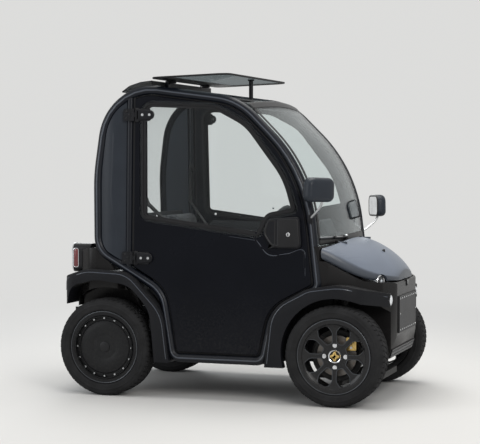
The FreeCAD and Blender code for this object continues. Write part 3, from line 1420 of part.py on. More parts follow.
def dashboard():
    """Dash moulding across the cabin below the windscreen."""
    half = size("side_half") - 90
    rear = 452 - size("seat_gap")
    profile = [(rear, 640, 20), (rear, 760, 12), (392, 806, 30), (330, 790, 30), (300, 700, 40),
               (330, 640, 20)]
    dash = side_prism(profile, -half, half)
    return feature("dashboard", dash.cut(ENVELOPES).removeSplitter())


def wheel_axis():
    """Hub point of the steering wheel and the direction towards the driver."""
    tilt = math.radians(size("wheel_tilt"))
    return (Vector(size("wheel_x"), size("wheel_y"), size("wheel_z")),
            Vector(-math.cos(tilt), 0, math.sin(tilt)))


def steering_column():
    """Column tube with its switch pod, below the dash."""
    hub, to_driver = wheel_axis()
    start = hub - to_driver * 32
    tube = rod(start, hub - to_driver * 290, 19)
    pod = rod(hub - to_driver * 36, hub - to_driver * 96, 38)
    shaft = rod(hub - to_driver * 33, hub + to_driver * 5.7, 9)
    whole = tube.fuse(pod).fuse(shaft).cut(made("dashboard"))
    biggest = max(whole.removeSplitter().Solids, key=lambda s: s.Volume)
    return feature("steering_column", biggest)


def steering_wheel():
    """Steering wheel with three spokes on its hub."""
    radius = size("wheel_rim_radius")
    rim = Part.makeTorus(radius, size("wheel_rim_tube"))
    hub = Part.makeCylinder(34, 26, Vector(0, 0, -8 + 1))
    wheel = rim.fuse(hub)
    for angle in (30, 150, 270):
        spoke = block((20, radius - 6), (-11, 11), (-6, 6))
        spoke.Placement = Placement(Vector(0, 0, 0), Rotation(Z_AXIS, angle))
        wheel = wheel.fuse(spoke)
    bore = Part.makeCylinder(9 + size("bearing_gap"), 14, Vector(0, 0, -8))
    wheel = wheel.cut(bore)
    centre, to_driver = wheel_axis()
    turn = Rotation(Z_AXIS, to_driver)
    return feature("steering_wheel", wheel.removeSplitter(), Placement(centre, turn))


def door_mirrors():
    """Mirror housings on round arms clamped to the screen pillars."""
    wide = size("mirror_width")
    tall = size("mirror_height")
    deep = size("mirror_depth")
    case = block((-deep / 2, deep / 2), (-wide / 2, wide / 2), (-tall / 2, tall / 2))
    long_edges = [e for e in case.Edges if e.BoundBox.XLength > deep - 1]
    case = case.makeFillet(34, long_edges)
    front = [e for e in case.Edges if e.BoundBox.XMin > deep / 2 - 0.01]
    case = case.makeFillet(18, front)
    mirrors = []
    for drop in (0, size("mirror_drop")):
        height = 905 - drop
        tube_x = ring_line(RING_PILLAR, height, 1)
        clamp_at = side_point(tube_x, -2, height)
        clamp = rod(clamp_at + Vector(0, 0, -17), clamp_at + Vector(0, 0, 22), 13)
        elbow = clamp_at + Vector(80, -54, 95)
        centre = Vector(clamp_at.x + 72, -562, size("mirror_z") - drop)
        arm = rod(clamp_at, elbow, 6).fuse(Part.makeSphere(6, elbow)).fuse(rod(elbow, centre, 6))
        housing = case.copy()
        housing.Placement = Placement(centre, Rotation(Z_AXIS, -size("mirror_turn")))
        whole = housing.fuse(arm).fuse(clamp).cut(ENVELOPES).removeSplitter()
        mirrors.append(max(whole.Solids, key=lambda s: s.Volume))
    return feature("door_mirrors", Part.makeCompound([mirrors[0], mirrored(mirrors[1])]))


def wiper():
    """One wiper parked along the foot of the screen."""
    foot = Vector(size("cowl_front_x") + size("cowl_bow") - 28, -60, size("cowl_height") + size("seat_gap"))
    spindle = rod(foot, foot + Vector(0, 0, 32), 6)
    tip = foot + Vector(-11, -190, 30)
    arm = rod(foot + Vector(0, 0, 28), tip, 5)
    blade = rod(tip + Vector(-18, -190, 6), tip + Vector(10, 120, -3), 4)
    whole = spindle.fuse(arm).fuse(blade)
    return feature("wiper", max(whole.Solids, key=lambda s: s.Volume))


for position, wheel_x in (("front", WHEEL_FRONT_X), ("rear", WHEEL_REAR_X)):
    right_tyre = tyre("tyre_%s_right" % position, wheel_x)
    left_of(right_tyre, "tyre_%s_left" % position)
PAIRS = (
    (front_rim, "rim_front_left"),
    (brake_disc, "brake_disc_left"),
    (rear_rim, "rim_rear_left"),
    (knuckle, "knuckle_left"),
    (side_frame, "side_frame_left"),
    (door_panel, "door_panel_left"),
    (door_glass, "door_glass_left"),
    (door_fittings, "door_fittings_left"),
)
for maker, left_label in PAIRS:
    left_of(maker(), left_label)
for maker in (steering_rack, front_suspension, rear_suspension, hinge_leaves, quarter_panels, windscreen,
              rear_window, roof_rails, roof_cap, roof_panel, front_shell, hood, front_fenders, rear_fenders,
              rear_shell, rear_bumper, floor_pan, wheelhouses, rivet_plate, front_grille, front_lamps,
              tail_lamps, seats, dashboard,
              steering_column, steering_wheel, door_mirrors, wiper):
    maker()

doc.recompute()
for obj in doc.Objects:
    if "Invalid" in obj.State or "Error" in obj.State:
        raise RuntimeError("failed object: %s %s" % (obj.Label, obj.State))
os.makedirs("parts", exist_ok=True)
for obj in NODES:
    shape = obj.Shape
    if shape.isNull() or not shape.isValid():
        raise RuntimeError("bad shape: %s" % obj.Label)
    shape.exportStep("parts/%s.step" % obj.Label)
    print(obj.Label, len(shape.Solids), round(shape.Volume / 1000), [round(v) for v in (
        shape.BoundBox.XMin, shape.BoundBox.YMin, shape.BoundBox.ZMin,
        shape.BoundBox.XMax, shape.BoundBox.YMax, shape.BoundBox.ZMax)])
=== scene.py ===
import json
import math

import bmesh
import bpy
from bpy.props import FloatProperty, FloatVectorProperty, IntProperty, PointerProperty
from mathutils import Matrix, Vector

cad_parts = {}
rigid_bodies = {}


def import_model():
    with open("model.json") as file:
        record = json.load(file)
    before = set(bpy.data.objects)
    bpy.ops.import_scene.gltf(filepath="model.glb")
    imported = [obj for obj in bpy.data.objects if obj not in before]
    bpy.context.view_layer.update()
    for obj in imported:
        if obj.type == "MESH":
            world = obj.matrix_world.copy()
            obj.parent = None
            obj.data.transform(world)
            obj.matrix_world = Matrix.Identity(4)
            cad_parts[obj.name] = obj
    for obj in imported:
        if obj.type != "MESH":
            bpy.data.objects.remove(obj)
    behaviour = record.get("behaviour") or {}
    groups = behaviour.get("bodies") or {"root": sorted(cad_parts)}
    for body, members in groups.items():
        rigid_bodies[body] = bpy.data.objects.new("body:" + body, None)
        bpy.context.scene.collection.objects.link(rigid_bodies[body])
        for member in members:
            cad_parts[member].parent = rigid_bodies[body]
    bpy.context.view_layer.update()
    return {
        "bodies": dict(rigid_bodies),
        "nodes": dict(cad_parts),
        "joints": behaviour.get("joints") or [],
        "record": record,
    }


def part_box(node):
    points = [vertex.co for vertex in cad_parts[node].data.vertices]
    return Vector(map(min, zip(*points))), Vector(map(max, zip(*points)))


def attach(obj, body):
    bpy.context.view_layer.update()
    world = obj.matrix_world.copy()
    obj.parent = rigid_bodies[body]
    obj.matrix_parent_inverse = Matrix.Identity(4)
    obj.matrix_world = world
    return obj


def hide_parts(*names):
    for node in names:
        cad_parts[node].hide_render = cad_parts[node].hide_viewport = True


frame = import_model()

bl_info = {
    "name": "Microcar Finish",
    "version": (1, 0, 0),
    "blender": (4, 5, 0),
    "location": "3D View > Sidebar > Microcar",
    "description": "Paint, tread, seats, seals and fasteners for a two-seat microcar",
    "category": "Object",
}

NODES = frame["nodes"]
SIDES = (("right", -1), ("left", 1))
AXLE_X = 0.6025
WHEEL_Y = 0.445
WHEEL_Z = 0.246
WHEELS = (
    ("front_right", AXLE_X, -1),
    ("front_left", AXLE_X, 1),
    ("rear_right", -AXLE_X, -1),
    ("rear_left", -AXLE_X, 1),
)
AHEAD = Vector((1, 0, 0))
BACK = Vector((-1, 0, 0))
LEFT = Vector((0, 1, 0))
UP = Vector((0, 0, 1))


# Shader and geometry sums


class Sum:
    """A socket of a node tree that takes part in sums, so that a pattern reads as an expression."""

    def __init__(self, graph, socket):
        self.graph = graph
        self.socket = socket

    def math(self, operation, *others, clamp=False):
        inputs = dict(enumerate((self,) + others))
        return self.graph.add("ShaderNodeMath", {"operation": operation, "use_clamp": clamp}, inputs)

    def __add__(self, other):
        return self.math("ADD", other)

    __radd__ = __add__

    def __mul__(self, other):
        return self.math("MULTIPLY", other)

    def __rsub__(self, other):
        inputs = {0: other, 1: self}
        return self.graph.add("ShaderNodeMath", {"operation": "SUBTRACT"}, inputs)

    def __truediv__(self, other):
        return self.math("DIVIDE", other)

    def __pow__(self, other):
        return self.math("POWER", other)

    def clamp(self):
        return self.math("ADD", 0.0, clamp=True)

    def rise(self, low, high):
        """0 below low, 1 above high, smooth between them."""
        inputs = {"Value": self, 1: low, 2: high, 3: 0.0, 4: 1.0}
        return self.graph.add("ShaderNodeMapRange", {"interpolation_type": "SMOOTHSTEP"}, inputs)


class Graph:
    """A node tree with one way to add any node: its type, its settings, then its sockets."""

    def __init__(self, tree):
        self.tree = tree

    def fill(self, socket, value):
        if isinstance(value, Sum):
            self.tree.links.new(value.socket, socket)
            return
        if socket.type == "RGBA" and len(value) == 3:
            value = (*value, 1.0)
        socket.default_value = value

    def add(self, kind, settings=None, inputs=None, output=None):
        node = self.tree.nodes.new(kind)
        for name, value in (settings or {}).items():
            setattr(node, name, value)
        for key, value in (inputs or {}).items():
            self.fill(node.inputs[key], value)
        if output is None:
            output = next(i for i, o in enumerate(node.outputs) if o.enabled)
        return Sum(self, node.outputs[output])


class Finish(Graph):
    """A material made from a Principled shader, with its patterns on Object coordinates."""

    def __init__(self, name):
        self.material = bpy.data.materials.new(name)
        self.material.use_nodes = True
        super().__init__(self.material.node_tree)
        self.tree.nodes.clear()
        self.place = self.add("ShaderNodeTexCoord", output="Object")

    def moved(self, offset, scale):
        shift = [-o * s for o, s in zip(offset, scale)]
        return self.add("ShaderNodeMapping", None, {"Vector": self.place, "Location": shift, "Scale": scale})

    def split(self, vector, axis):
        return self.add("ShaderNodeSeparateXYZ", None, {0: vector}, output=axis)

    def noise(self, scale, detail=3.0, at=None, rough=0.5):
        inputs = {"Vector": at or self.place, "Scale": scale, "Detail": detail, "Roughness": rough}
        return self.add("ShaderNodeTexNoise", None, inputs, output=0)

    def cells(self, scale):
        return self.add("ShaderNodeTexVoronoi", None, {"Vector": self.place, "Scale": scale}, output=0)

    def upward(self):
        """How far the surface faces up, from -1 to 1."""
        return self.split(self.add("ShaderNodeNewGeometry", output=1), 2)

    def mix(self, factor, first, second):
        settings = {"data_type": "RGBA", "blend_type": "MIX"}
        return self.add("ShaderNodeMix", settings, {0: factor, 6: first, 7: second}, output=2)

    def bump(self, height, distance, strength):
        return self.add("ShaderNodeBump", None, {"Height": height, "Distance": distance,
                                                 "Strength": strength})

    def surface(self, base, **sockets):
        inputs = {"Base Color": base}
        inputs.update({name.replace("_", " "): value for name, value in sockets.items()})
        return self.end(self.add("ShaderNodeBsdfPrincipled", None, inputs))

    def end(self, shader):
        out = self.tree.nodes.new("ShaderNodeOutputMaterial")
        self.tree.links.new(shader.socket, out.inputs["Surface"])
        return self.material


# Finishes


def painted(name, colour, rough, peel=0.5, coat=0.0, shine=0.35, painted_side_shade=None):
    """Sprayed paint: slight orange peel, faint cloudiness, road dust towards the sills and painted shade on
    the sides.
    """
    f = Finish(name)
    if painted_side_shade:
        # Painted shade: faces that point up keep the paint colour, and the sides take the darker side colour.
        top = f.upward().rise(0.25, 0.62)
    cloud = f.noise(5.0, 4.0)
    grit = f.noise(90.0, 6.0, rough=0.7)
    low = 1 - f.split(f.place, 2).rise(0.16, 0.62)
    dust = (low * grit.rise(0.42, 0.8) * 0.5 + low * 0.08).clamp()
    shade = f.mix(cloud, [c * 0.82 for c in colour], [min(1, c * 1.2 + 0.001) for c in colour])
    if painted_side_shade:
        # Painted shade on the sides, the paint colour on top.
        shade = f.mix(top, painted_side_shade, shade)
    base = f.mix(dust, shade, (0.030, 0.029, 0.028))
    matt = cloud * 0.10 + dust * 0.3 + (rough - 0.05)
    peeled = f.bump(f.noise(420.0, 2.0), 0.0003, peel)
    return f.surface(base, Roughness=matt, Normal=peeled, Coat_Weight=coat, Coat_Roughness=0.12,
                     Specular_IOR_Level=shine)


def moulded(name, colour, rough, grain=0.35, size=1500.0, fade=0.25):
    """Grained moulded plastic, a little faded and dusty where it faces up."""
    f = Finish(name)
    pores = f.cells(size)
    broad = f.noise(9.0, 5.0)
    settled = (f.upward().rise(0.2, 1.0) * f.noise(160.0, 5.0, rough=0.75).rise(0.35, 0.8) * fade).clamp()
    plain = f.mix(broad, [c * 0.8 for c in colour], [c * 1.25 for c in colour])
    base = f.mix(settled, plain, (0.16, 0.155, 0.145))
    matt = rough - 0.04 + broad * 0.1 + settled * 0.2
    return f.surface(base, Roughness=matt, Normal=f.bump(pores, 0.00035, grain), Specular_IOR_Level=0.17)


def rubber(name, colour, rough):
    """Tyre rubber: grey bloom and fine pits."""
    f = Finish(name)
    bloom = f.noise(14.0, 6.0, rough=0.65)
    pits = f.noise(700.0, 3.0)
    base = f.mix(bloom.rise(0.3, 0.75), colour, [c * 1.6 + 0.002 for c in colour])
    return f.surface(base, Roughness=rough + bloom * 0.12, Normal=f.bump(pits, 0.0004, 0.4),
                     Specular_IOR_Level=0.13)


def metal(name, colour, rough, scratch=0.3):
    """Bare or plated metal with a brushed run and uneven tarnish."""
    f = Finish(name)
    run = f.noise(1.0, 3.0, at=f.moved((0, 0, 0), (40, 40, 900)))
    stain = f.noise(22.0, 5.0, rough=0.7)
    base = f.mix(stain.rise(0.35, 0.8), colour, [c * 0.72 for c in colour])
    matt = rough + run * 0.10 + stain * 0.06
    return f.surface(base, Metallic=1.0, Roughness=matt, Normal=f.bump(run, 0.0002, scratch))


def turned(name, colour, rough, centre):
    """Metal turned on a lathe about the axle line: rings round the given centre."""
    f = Finish(name)
    flat = f.moved(centre, (1, 0, 1))
    reach = f.add("ShaderNodeVectorMath", {"operation": "LENGTH"}, {0: flat}, output=1)
    rings = (reach * 5200.0).math("SINE") * 0.5 + 0.5
    rust = f.noise(60.0, 6.0, rough=0.7).rise(0.5, 0.85)
    base = f.mix(rust * 0.7, colour, (0.16, 0.075, 0.035))
    return f.surface(base, Metallic=0.9, Roughness=rough + rust * 0.3, Normal=f.bump(rings, 0.0002, 0.35))


def glazing(name, tint, mirror, grazing=0.55):
    """Window glass that lets lamps through, clearest where seen straight on."""
    f = Finish(name)
    edge = f.add("ShaderNodeLayerWeight", None, {"Blend": 0.5}, output=1)
    clear = f.add("ShaderNodeBsdfTransparent", None, {"Color": tint})
    sheen = {"Base Color": (0.9, 0.93, 0.95), "Roughness": 0.03, "Metallic": 1.0}
    gloss = f.add("ShaderNodeBsdfPrincipled", None, sheen)
    share = (edge ** 4.0 * grazing + mirror).clamp()
    return f.end(f.add("ShaderNodeMixShader", None, {0: share, 1: clear, 2: gloss}))


def lens(name, colour, rough=0.08, ribs=900.0, depth=0.0006):
    """Moulded lamp lens with fluting on its inside."""
    f = Finish(name)
    flute = (f.split(f.place, 1) * ribs).math("SINE") * (f.split(f.place, 2) * ribs).math("SINE")
    glow = f.mix(f.noise(60.0), [c * 0.8 for c in colour], [min(1, c * 1.15) for c in colour])
    return f.surface(glow, Roughness=rough + f.noise(30.0) * 0.04, Normal=f.bump(flute, depth, 0.5),
                     Coat_Weight=0.6, Coat_Roughness=0.04, Specular_IOR_Level=0.6)


def woven(name, colour, pitch=0.0022):
    """Seat cloth: crossing threads with melange flecks."""
    f = Finish(name)
    turns = 2 * math.pi / pitch
    across = (f.split(f.place, 1) * turns).math("SINE")
    along = ((f.split(f.place, 0) + f.split(f.place, 2)) * turns).math("SINE")
    thread = (across * along) * 0.5 + 0.5
    fleck = f.noise(900.0, 2.0)
    base = f.mix(thread * 0.6 + fleck * 0.4, [c * 0.55 for c in colour], [min(1, c * 1.6) for c in colour])
    return f.surface(base, Roughness=0.86 + fleck * 0.1, Normal=f.bump(thread, 0.0006, 0.7),
                     Sheen_Weight=0.25, Sheen_Roughness=0.5, Specular_IOR_Level=0.2)


class Finishes:
    """The car's finishes, made once."""


def make_finishes():
    k = Finishes
    c = bpy.context.scene.car_colours
    k.body = painted("body_enamel", c.body, 0.26, shine=0.11)
    k.hoop = painted("hoop_enamel", c.hoop, 0.34, peel=0.7, shine=0.22)
    k.shell = painted("shell_enamel", c.shell, 0.28, shine=0.17)
    # The lid's sides get a darker colour: painted shade where they face away from the light.
    k.lid = painted("lid_satin", c.lid, 0.38, peel=0.35, shine=0.45, painted_side_shade=[v * 0.42 for v in c.lid])
    k.black = moulded("fender_black", c.plastic, 0.44)
    k.fine = moulded("fine_black", (0.014, 0.014, 0.015), 0.38, grain=0.2, size=2600.0, fade=0.12)
    k.cabin = moulded("cabin_charcoal", (0.030, 0.031, 0.034), 0.6, grain=0.5, size=900.0, fade=0.1)
    k.slate = moulded("slate_panel", c.slate, 0.34, grain=0.12, size=2600.0, fade=0.1)
    k.seal = moulded("rubber_seal", (0.010, 0.010, 0.011), 0.55, grain=0.2, fade=0.1)
    k.tyre = rubber("tyre_rubber", c.rubber, 0.62)
    k.tread = rubber("tread_rubber", [v * 1.3 for v in c.rubber], 0.78)
    k.alloy = painted("alloy_black", (0.0060, 0.0062, 0.0072), 0.26, peel=0.2, coat=0.12, shine=0.24)
    k.cover = painted("cover_black", (0.0075, 0.0078, 0.0088), 0.36, peel=0.6, shine=0.17)
    k.under = painted("chassis_black", (0.014, 0.014, 0.014), 0.55, peel=0.9, shine=0.3)
    k.steel = metal("zinc_steel", (0.55, 0.56, 0.57), 0.30)
    k.chrome = metal("chrome", (0.72, 0.73, 0.75), 0.07, scratch=0.04)
    k.brass = metal("brass_passivated", (0.62, 0.44, 0.16), 0.30)
    k.disc = turned("brake_iron", (0.15, 0.14, 0.13), 0.38, (AXLE_X, 0, WHEEL_Z))
    k.pane = glazing("side_glass", (0.94, 0.955, 0.955), 0.012)
    k.screen = glazing("screen_glass", (0.90, 0.935, 0.93), 0.02)
    k.roof = glazing("roof_glass", (0.42, 0.45, 0.46), 0.01, grazing=0.10)
    k.red = lens("red_lens", (0.13, 0.004, 0.006))
    k.clear = lens("lamp_glass", (0.62, 0.66, 0.70), ribs=700.0)
    k.amber = lens("amber_lens", (0.55, 0.20, 0.03))
    k.cloth = woven("seat_cloth", c.cloth)
    k.dark_cloth = woven("bolster_cloth", [v * 0.55 for v in c.cloth])
    k.pack = moulded("battery_case", (0.05, 0.052, 0.055), 0.5)
    k.sheet = painted("black_sheet", (0.006, 0.006, 0.0075), 0.36, peel=0.8, shine=0.16)
    k.edge = metal("machined_edge", (0.085, 0.090, 0.098), 0.34, scratch=0.1)
    # A lighter slate for thin beads and lines: painted highlights along frame seams, quarter panels, fender
    # crowns and the door's pressed line.
    k.bead = painted("frame_bead", (0.045, 0.052, 0.066), 0.26, peel=0.2, shine=0.5)
    k.mirror = metal("mirror_silver", (0.80, 0.82, 0.84), 0.03, scratch=0.02)
    k.mesh = metal("perforated_steel", (0.10, 0.102, 0.106), 0.42, scratch=0.1)
    k.white = lens("white_lens", (0.80, 0.82, 0.84), rough=0.12, ribs=1100.0)
    k.display = lens("display_glass", (0.012, 0.014, 0.018), rough=0.05, ribs=0.0, depth=0.0)


# Shaping helpers


def link(name, mesh):
    obj = bpy.data.objects.new(name, mesh)
    bpy.context.scene.collection.objects.link(obj)
    return obj


def settle(obj, material, body, smooth=35):
    """Gives a finished mesh its material, its shading and the body that it moves with."""
    mesh = obj.data
    mesh.materials.clear()
    mesh.materials.append(material)
    for face in mesh.polygons:
        face.material_index = 0
        face.use_smooth = True
    mesh.set_sharp_from_angle(angle=math.radians(smooth))
    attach(obj, body)
    return obj


def baked(obj):
    """Makes an object's modifiers part of its own plain mesh."""
    graph = bpy.context.evaluated_depsgraph_get()
    mesh = bpy.data.meshes.new_from_object(obj.evaluated_get(graph))
    obj.modifiers.clear()
    obj.data = mesh
    return mesh


def node_copy(node, merge):
    """A CAD node's shape as a bmesh of its own, with points closer than merge made one."""
    source = NODES[node]
    bm = bmesh.new()
    bm.from_mesh(source.data)
    bmesh.ops.transform(bm, matrix=source.matrix_world, verts=bm.verts)
    bmesh.ops.remove_doubles(bm, verts=bm.verts, dist=merge)
    return bm


def from_bm(name, bm, material, body="chassis", smooth=35):
    """A finished piece from a bmesh."""
    bmesh.ops.remove_doubles(bm, verts=bm.verts, dist=1e-6)
    bmesh.ops.recalc_face_normals(bm, faces=bm.faces)
    mesh = bpy.data.meshes.new(name)
    bm.to_mesh(mesh)
    bm.free()
    return settle(link(name, mesh), material, body, smooth)


def grown(bm, source):
    """Adds another bmesh to bm."""
    mesh = bpy.data.meshes.new("part")
    source.to_mesh(mesh)
    source.free()
    bm.from_mesh(mesh)
    bpy.data.meshes.remove(mesh)
    return bm


def around_circle(count):
    """Angles in even steps round a circle."""
    return [2 * math.pi * k / count for k in range(count)]


def lathe(profile, centre, axis, steps, closed=True):
    """A shape turned about an axis; the profile is (radius, along) pairs in millimetres."""
    axis = Vector(axis).normalized()
    side = axis.orthogonal().normalized()
    other = axis.cross(side)
    bm = bmesh.new()
    rings = []
    for a in around_circle(steps):
        out = side * math.cos(a) + other * math.sin(a)
        rings.append([bm.verts.new(Vector(centre) + (out * r + axis * h) / 1000) for r, h in profile])
    count = len(profile)
    for k in range(steps):
        here, there = rings[k], rings[(k + 1) % steps]
        for i in range(count if closed else count - 1):
            j = (i + 1) % count
            bm.faces.new((here[i], here[j], there[j], there[i]))
    bmesh.ops.remove_doubles(bm, verts=bm.verts, dist=1e-6)
    bmesh.ops.dissolve_degenerate(bm, dist=1e-7, edges=bm.edges)
    bmesh.ops.recalc_face_normals(bm, faces=bm.faces)
    return bm


def rounded_block(centre, size, radius, segments=3):
    """A box with rounded edges."""
    bm = bmesh.new()
    bmesh.ops.create_cube(bm, size=1.0)
    bmesh.ops.scale(bm, vec=size, verts=bm.verts)
    bmesh.ops.bevel(bm, geom=bm.edges[:], offset=radius, segments=segments, profile=0.5, affect="EDGES")
    bmesh.ops.translate(bm, vec=centre, verts=bm.verts)
    return bm


def swept(points, radius, sides, cyclic=False, smooth=True, taper=None):
    """A round bar that follows points, through a curve when smooth; taper scales it at each point."""
    curve = bpy.data.curves.new("path", "CURVE")
    curve.dimensions = "3D"
    curve.bevel_depth = radius
    curve.bevel_resolution = max(1, sides // 4)
    curve.use_fill_caps = not cyclic
    spline = curve.splines.new("NURBS" if smooth else "POLY")
    spline.points.add(len(points) - 1)
    for i, p in enumerate(points):
        spline.points[i].co = (*p, 1.0)
        if taper:
            spline.points[i].radius = taper[i]
    spline.use_cyclic_u = cyclic
    if smooth:
        spline.order_u = 3
        spline.use_endpoint_u = not cyclic
        spline.resolution_u = 6
    holder = link("path", curve)
    graph = bpy.context.evaluated_depsgraph_get()
    mesh = bpy.data.meshes.new_from_object(holder.evaluated_get(graph))
    bpy.data.objects.remove(holder)
    bpy.data.curves.remove(curve)
    bm = bmesh.new()
    bm.from_mesh(mesh)
    bpy.data.meshes.remove(mesh)
    bmesh.ops.remove_doubles(bm, verts=bm.verts, dist=1e-6)
    return bm


def land(node, start, toward):
    """Where a straight line from start first meets a CAD node, and the surface's outward normal there."""
    hit, point, normal, _ = NODES[node].ray_cast(Vector(start), Vector(toward).normalized())
    if not hit:
        raise RuntimeError(f"nothing of {node} lies ahead of {tuple(start)}")
    return point, normal


def reach_of(node, low, high, start_at, toward):
    """How far a node reaches: the last place between low and high where a straight line still meets it."""
    for _ in range(12):
        middle = (low + high) / 2
        hit = NODES[node].ray_cast(start_at(middle), toward)[0]
        low, high = (middle, high) if hit else (low, middle)
    return low


LEAN = math.radians(1.9)
SILL_Y = 0.497
SILL_Z = 0.207


def on_side(side, x, depth, height):
    """A place on the leaning side of the body: depth inwards from its plane, height above the ground."""
    up = height - SILL_Z
    y = -SILL_Y + depth * math.cos(LEAN) + up * math.sin(LEAN)
    return Vector((x, -side * y, SILL_Z - depth * math.sin(LEAN) + up * math.cos(LEAN)))


def side_place(side):
    """A way to place flat outlines on the leaning side."""
    return lambda a, b, high: on_side(side, a, -high, b)


def outward(side):
    """The way that the leaning side faces."""
    return Vector((0, side * math.cos(LEAN), math.sin(LEAN)))


def facing(centre, across, up, out):
    """A way to place flat outlines on any plane: across, up, then out of it."""
    centre, across, up, out = (Vector(v) for v in (centre, across, up, out))
    return lambda a, b, high: centre + across * a + up * b + out * high


def rounded(points, steps=7, cyclic=True):
    """A line in metres with arcs at its corners, from (x, height, radius) in millimetres."""
    count = len(points)
    line = []
    for i, (x, z, radius) in enumerate(points):
        here = Vector((x, z))
        if radius <= 0 or (not cyclic and i in (0, count - 1)):
            line.append(here / 1000)
            continue
        back = (Vector(points[i - 1][:2]) - here).normalized()
        ahead = (Vector(points[(i + 1) % count][:2]) - here).normalized()
        half = back.angle(ahead) / 2
        centre = here + (back + ahead).normalized() * (radius / math.sin(half))
        start = here + back * radius / math.tan(half) - centre
        end = here + ahead * radius / math.tan(half) - centre
        sweep = start.angle(end)
        for k in range(steps + 1):
            share = k / steps
            blend = start * math.sin((1 - share) * sweep) + end * math.sin(share * sweep)
            line.append((centre + blend / math.sin(sweep)) / 1000)
    return line


def rectangle(left, low, right, high, radius, steps=7):
    """The outline of a rectangle in metres with one radius at its corners, from millimetres."""
    corners = ((left, low), (right, low), (right, high), (left, high))
    return rounded([(*corner, radius) for corner in corners], steps)


def turns_left(line):
    return sum(a.x * b.y - b.x * a.y for a, b in zip(line, line[1:] + line[:1])) > 0


def open_run(line):
    """The points kept of a closed line as one open run, which starts and ends at its widest gap."""
    start = max(range(len(line)), key=lambda i: (line[i] - line[i - 1]).length)
    return (line[start:] + line[:start])[::-1]


def offset(line, distance):
    """A closed line moved inwards by a distance."""
    sign = 1 if turns_left(line) else -1
    moved = []
    for i, here in enumerate(line):
        one = (here - line[i - 1]).normalized()
        two = (line[(i + 1) % len(line)] - here).normalized()
        side = Vector((-(one.y + two.y), one.x + two.x)).normalized() * sign
        moved.append(here + side * distance / max(0.35, Vector((-one.y, one.x)).dot(side * sign)))
    return moved


def moulding(line, section, place, cyclic=True):
    """A section of (inwards, outwards) pairs in millimetres carried along a flat line."""
    bm = bmesh.new()
    sign = 1 if not cyclic or turns_left(line) else -1
    rings = []
    count = len(line)
    for i, here in enumerate(line):
        before = line[i - 1] if cyclic or i > 0 else here
        after = line[(i + 1) % count] if cyclic or i < count - 1 else here
        run = (after - before).normalized()
        side = Vector((-run.y, run.x)) * sign / 1000
        rings.append([bm.verts.new(place(*(here + side * u), v / 1000)) for u, v in section])
    for i in range(count if cyclic else count - 1):
        here, there = rings[i], rings[(i + 1) % count]
        for j in range(len(section)):
            k = (j + 1) % len(section)
            bm.faces.new((here[j], here[k], there[k], there[j]))
    if not cyclic:
        bm.faces.new(rings[0])
        bm.faces.new(rings[-1][::-1])
    return bm


def skin(rows):
    """A sheet of faces through rows of points."""
    bm = bmesh.new()
    rows = [[bm.verts.new(point) for point in row] for row in rows]
    for one, two in zip(rows, rows[1:]):
        for k in range(len(one) - 1):
            bm.faces.new((one[k], one[k + 1], two[k + 1], two[k]))
    return bm


def tube(bm, rings):
    """Faces between neighbouring closed rings of points, and a lid on the last one."""
    for lower, upper in zip(rings, rings[1:]):
        for i in range(len(lower)):
            j = (i + 1) % len(lower)
            bm.faces.new((lower[i], lower[j], upper[j], upper[i]))
    bm.faces.new(rings[-1])


def plate(line, levels, place, dome=()):
    """A raised piece with a flat outline, in millimetres: levels are (inset, height) pairs from its foot to
    its top, and dome goes on with (share of the outline, height) pairs towards its middle."""
    bm = bmesh.new()
    rings = []
    for inset, height in levels:
        last = offset(line, inset / 1000) if inset else line
        rings.append([bm.verts.new(place(p.x, p.y, height / 1000)) for p in last])
    middle = sum(last, Vector((0, 0))) / len(last)
    for share, height in dome:
        spots = [middle + (p - middle) * share for p in last]
        rings.append([bm.verts.new(place(p.x, p.y, height / 1000)) for p in spots])
    tube(bm, rings)
    return bm


# Repeats made by geometry nodes


def node_tree(name, inputs):
    """A geometry tree with named inputs; returns its graph, its input sockets and a way to end it."""
    tree = bpy.data.node_groups.new(name, "GeometryNodeTree")
    tree.interface.new_socket(name="Geometry", in_out="INPUT", socket_type="NodeSocketGeometry")
    for label, kind in inputs:
        tree.interface.new_socket(name=label, in_out="INPUT", socket_type="NodeSocket" + kind)
    tree.interface.new_socket(name="Material", in_out="INPUT", socket_type="NodeSocketMaterial")
    tree.interface.new_socket(name="Geometry", in_out="OUTPUT", socket_type="NodeSocketGeometry")
    graph = Graph(tree)
    source = tree.nodes.new("NodeGroupInput")
    given = {o.name: Sum(graph, o) for o in source.outputs if o.name}

    def end(geometry):
        real = graph.add("GeometryNodeRealizeInstances", None, {"Geometry": geometry})
        done = graph.add("GeometryNodeSetMaterial", None, {"Geometry": real, "Material": given["Material"]})
        out = tree.nodes.new("NodeGroupOutput")
        tree.links.new(done.socket, out.inputs[0])
        return tree

    return graph, given, end


def around_tree():
    """Copies of a mesh turned about the level cross axis through a centre."""
    g, given, end = node_tree("around_the_axle", (("Count", "Int"), ("Centre", "Vector")))
    line = g.add("GeometryNodeMeshLine", None, {"Count": given["Count"], "Offset": (0.0, 0.0, 0.0)})
    index = g.add("GeometryNodeInputIndex")
    angle = index * 2.0 * math.pi / given["Count"]
    euler = g.add("ShaderNodeCombineXYZ", None, {1: angle})
    turn = g.add("FunctionNodeEulerToRotation", None, {0: euler})
    inputs = {"Points": line, "Instance": given["Geometry"], "Rotation": turn}
    copies = g.add("GeometryNodeInstanceOnPoints", None, inputs)
    return end(g.add("GeometryNodeTransform", None, {"Geometry": copies, "Translation": given["Centre"]}))


def facing_tree(name, inputs, head):
    """A tree that stands a head on every point, along the point's own facing."""
    g, given, end = node_tree(name, inputs)
    facing = g.add("GeometryNodeInputNamedAttribute", {"data_type": "FLOAT_VECTOR"}, {"Name": "facing"})
    turn = g.add("FunctionNodeAlignRotationToVector", {"axis": "Z"}, {"Vector": facing})
    inputs = {"Points": given["Geometry"], "Instance": head(g, given), "Rotation": turn}
    return end(g.add("GeometryNodeInstanceOnPoints", None, inputs))


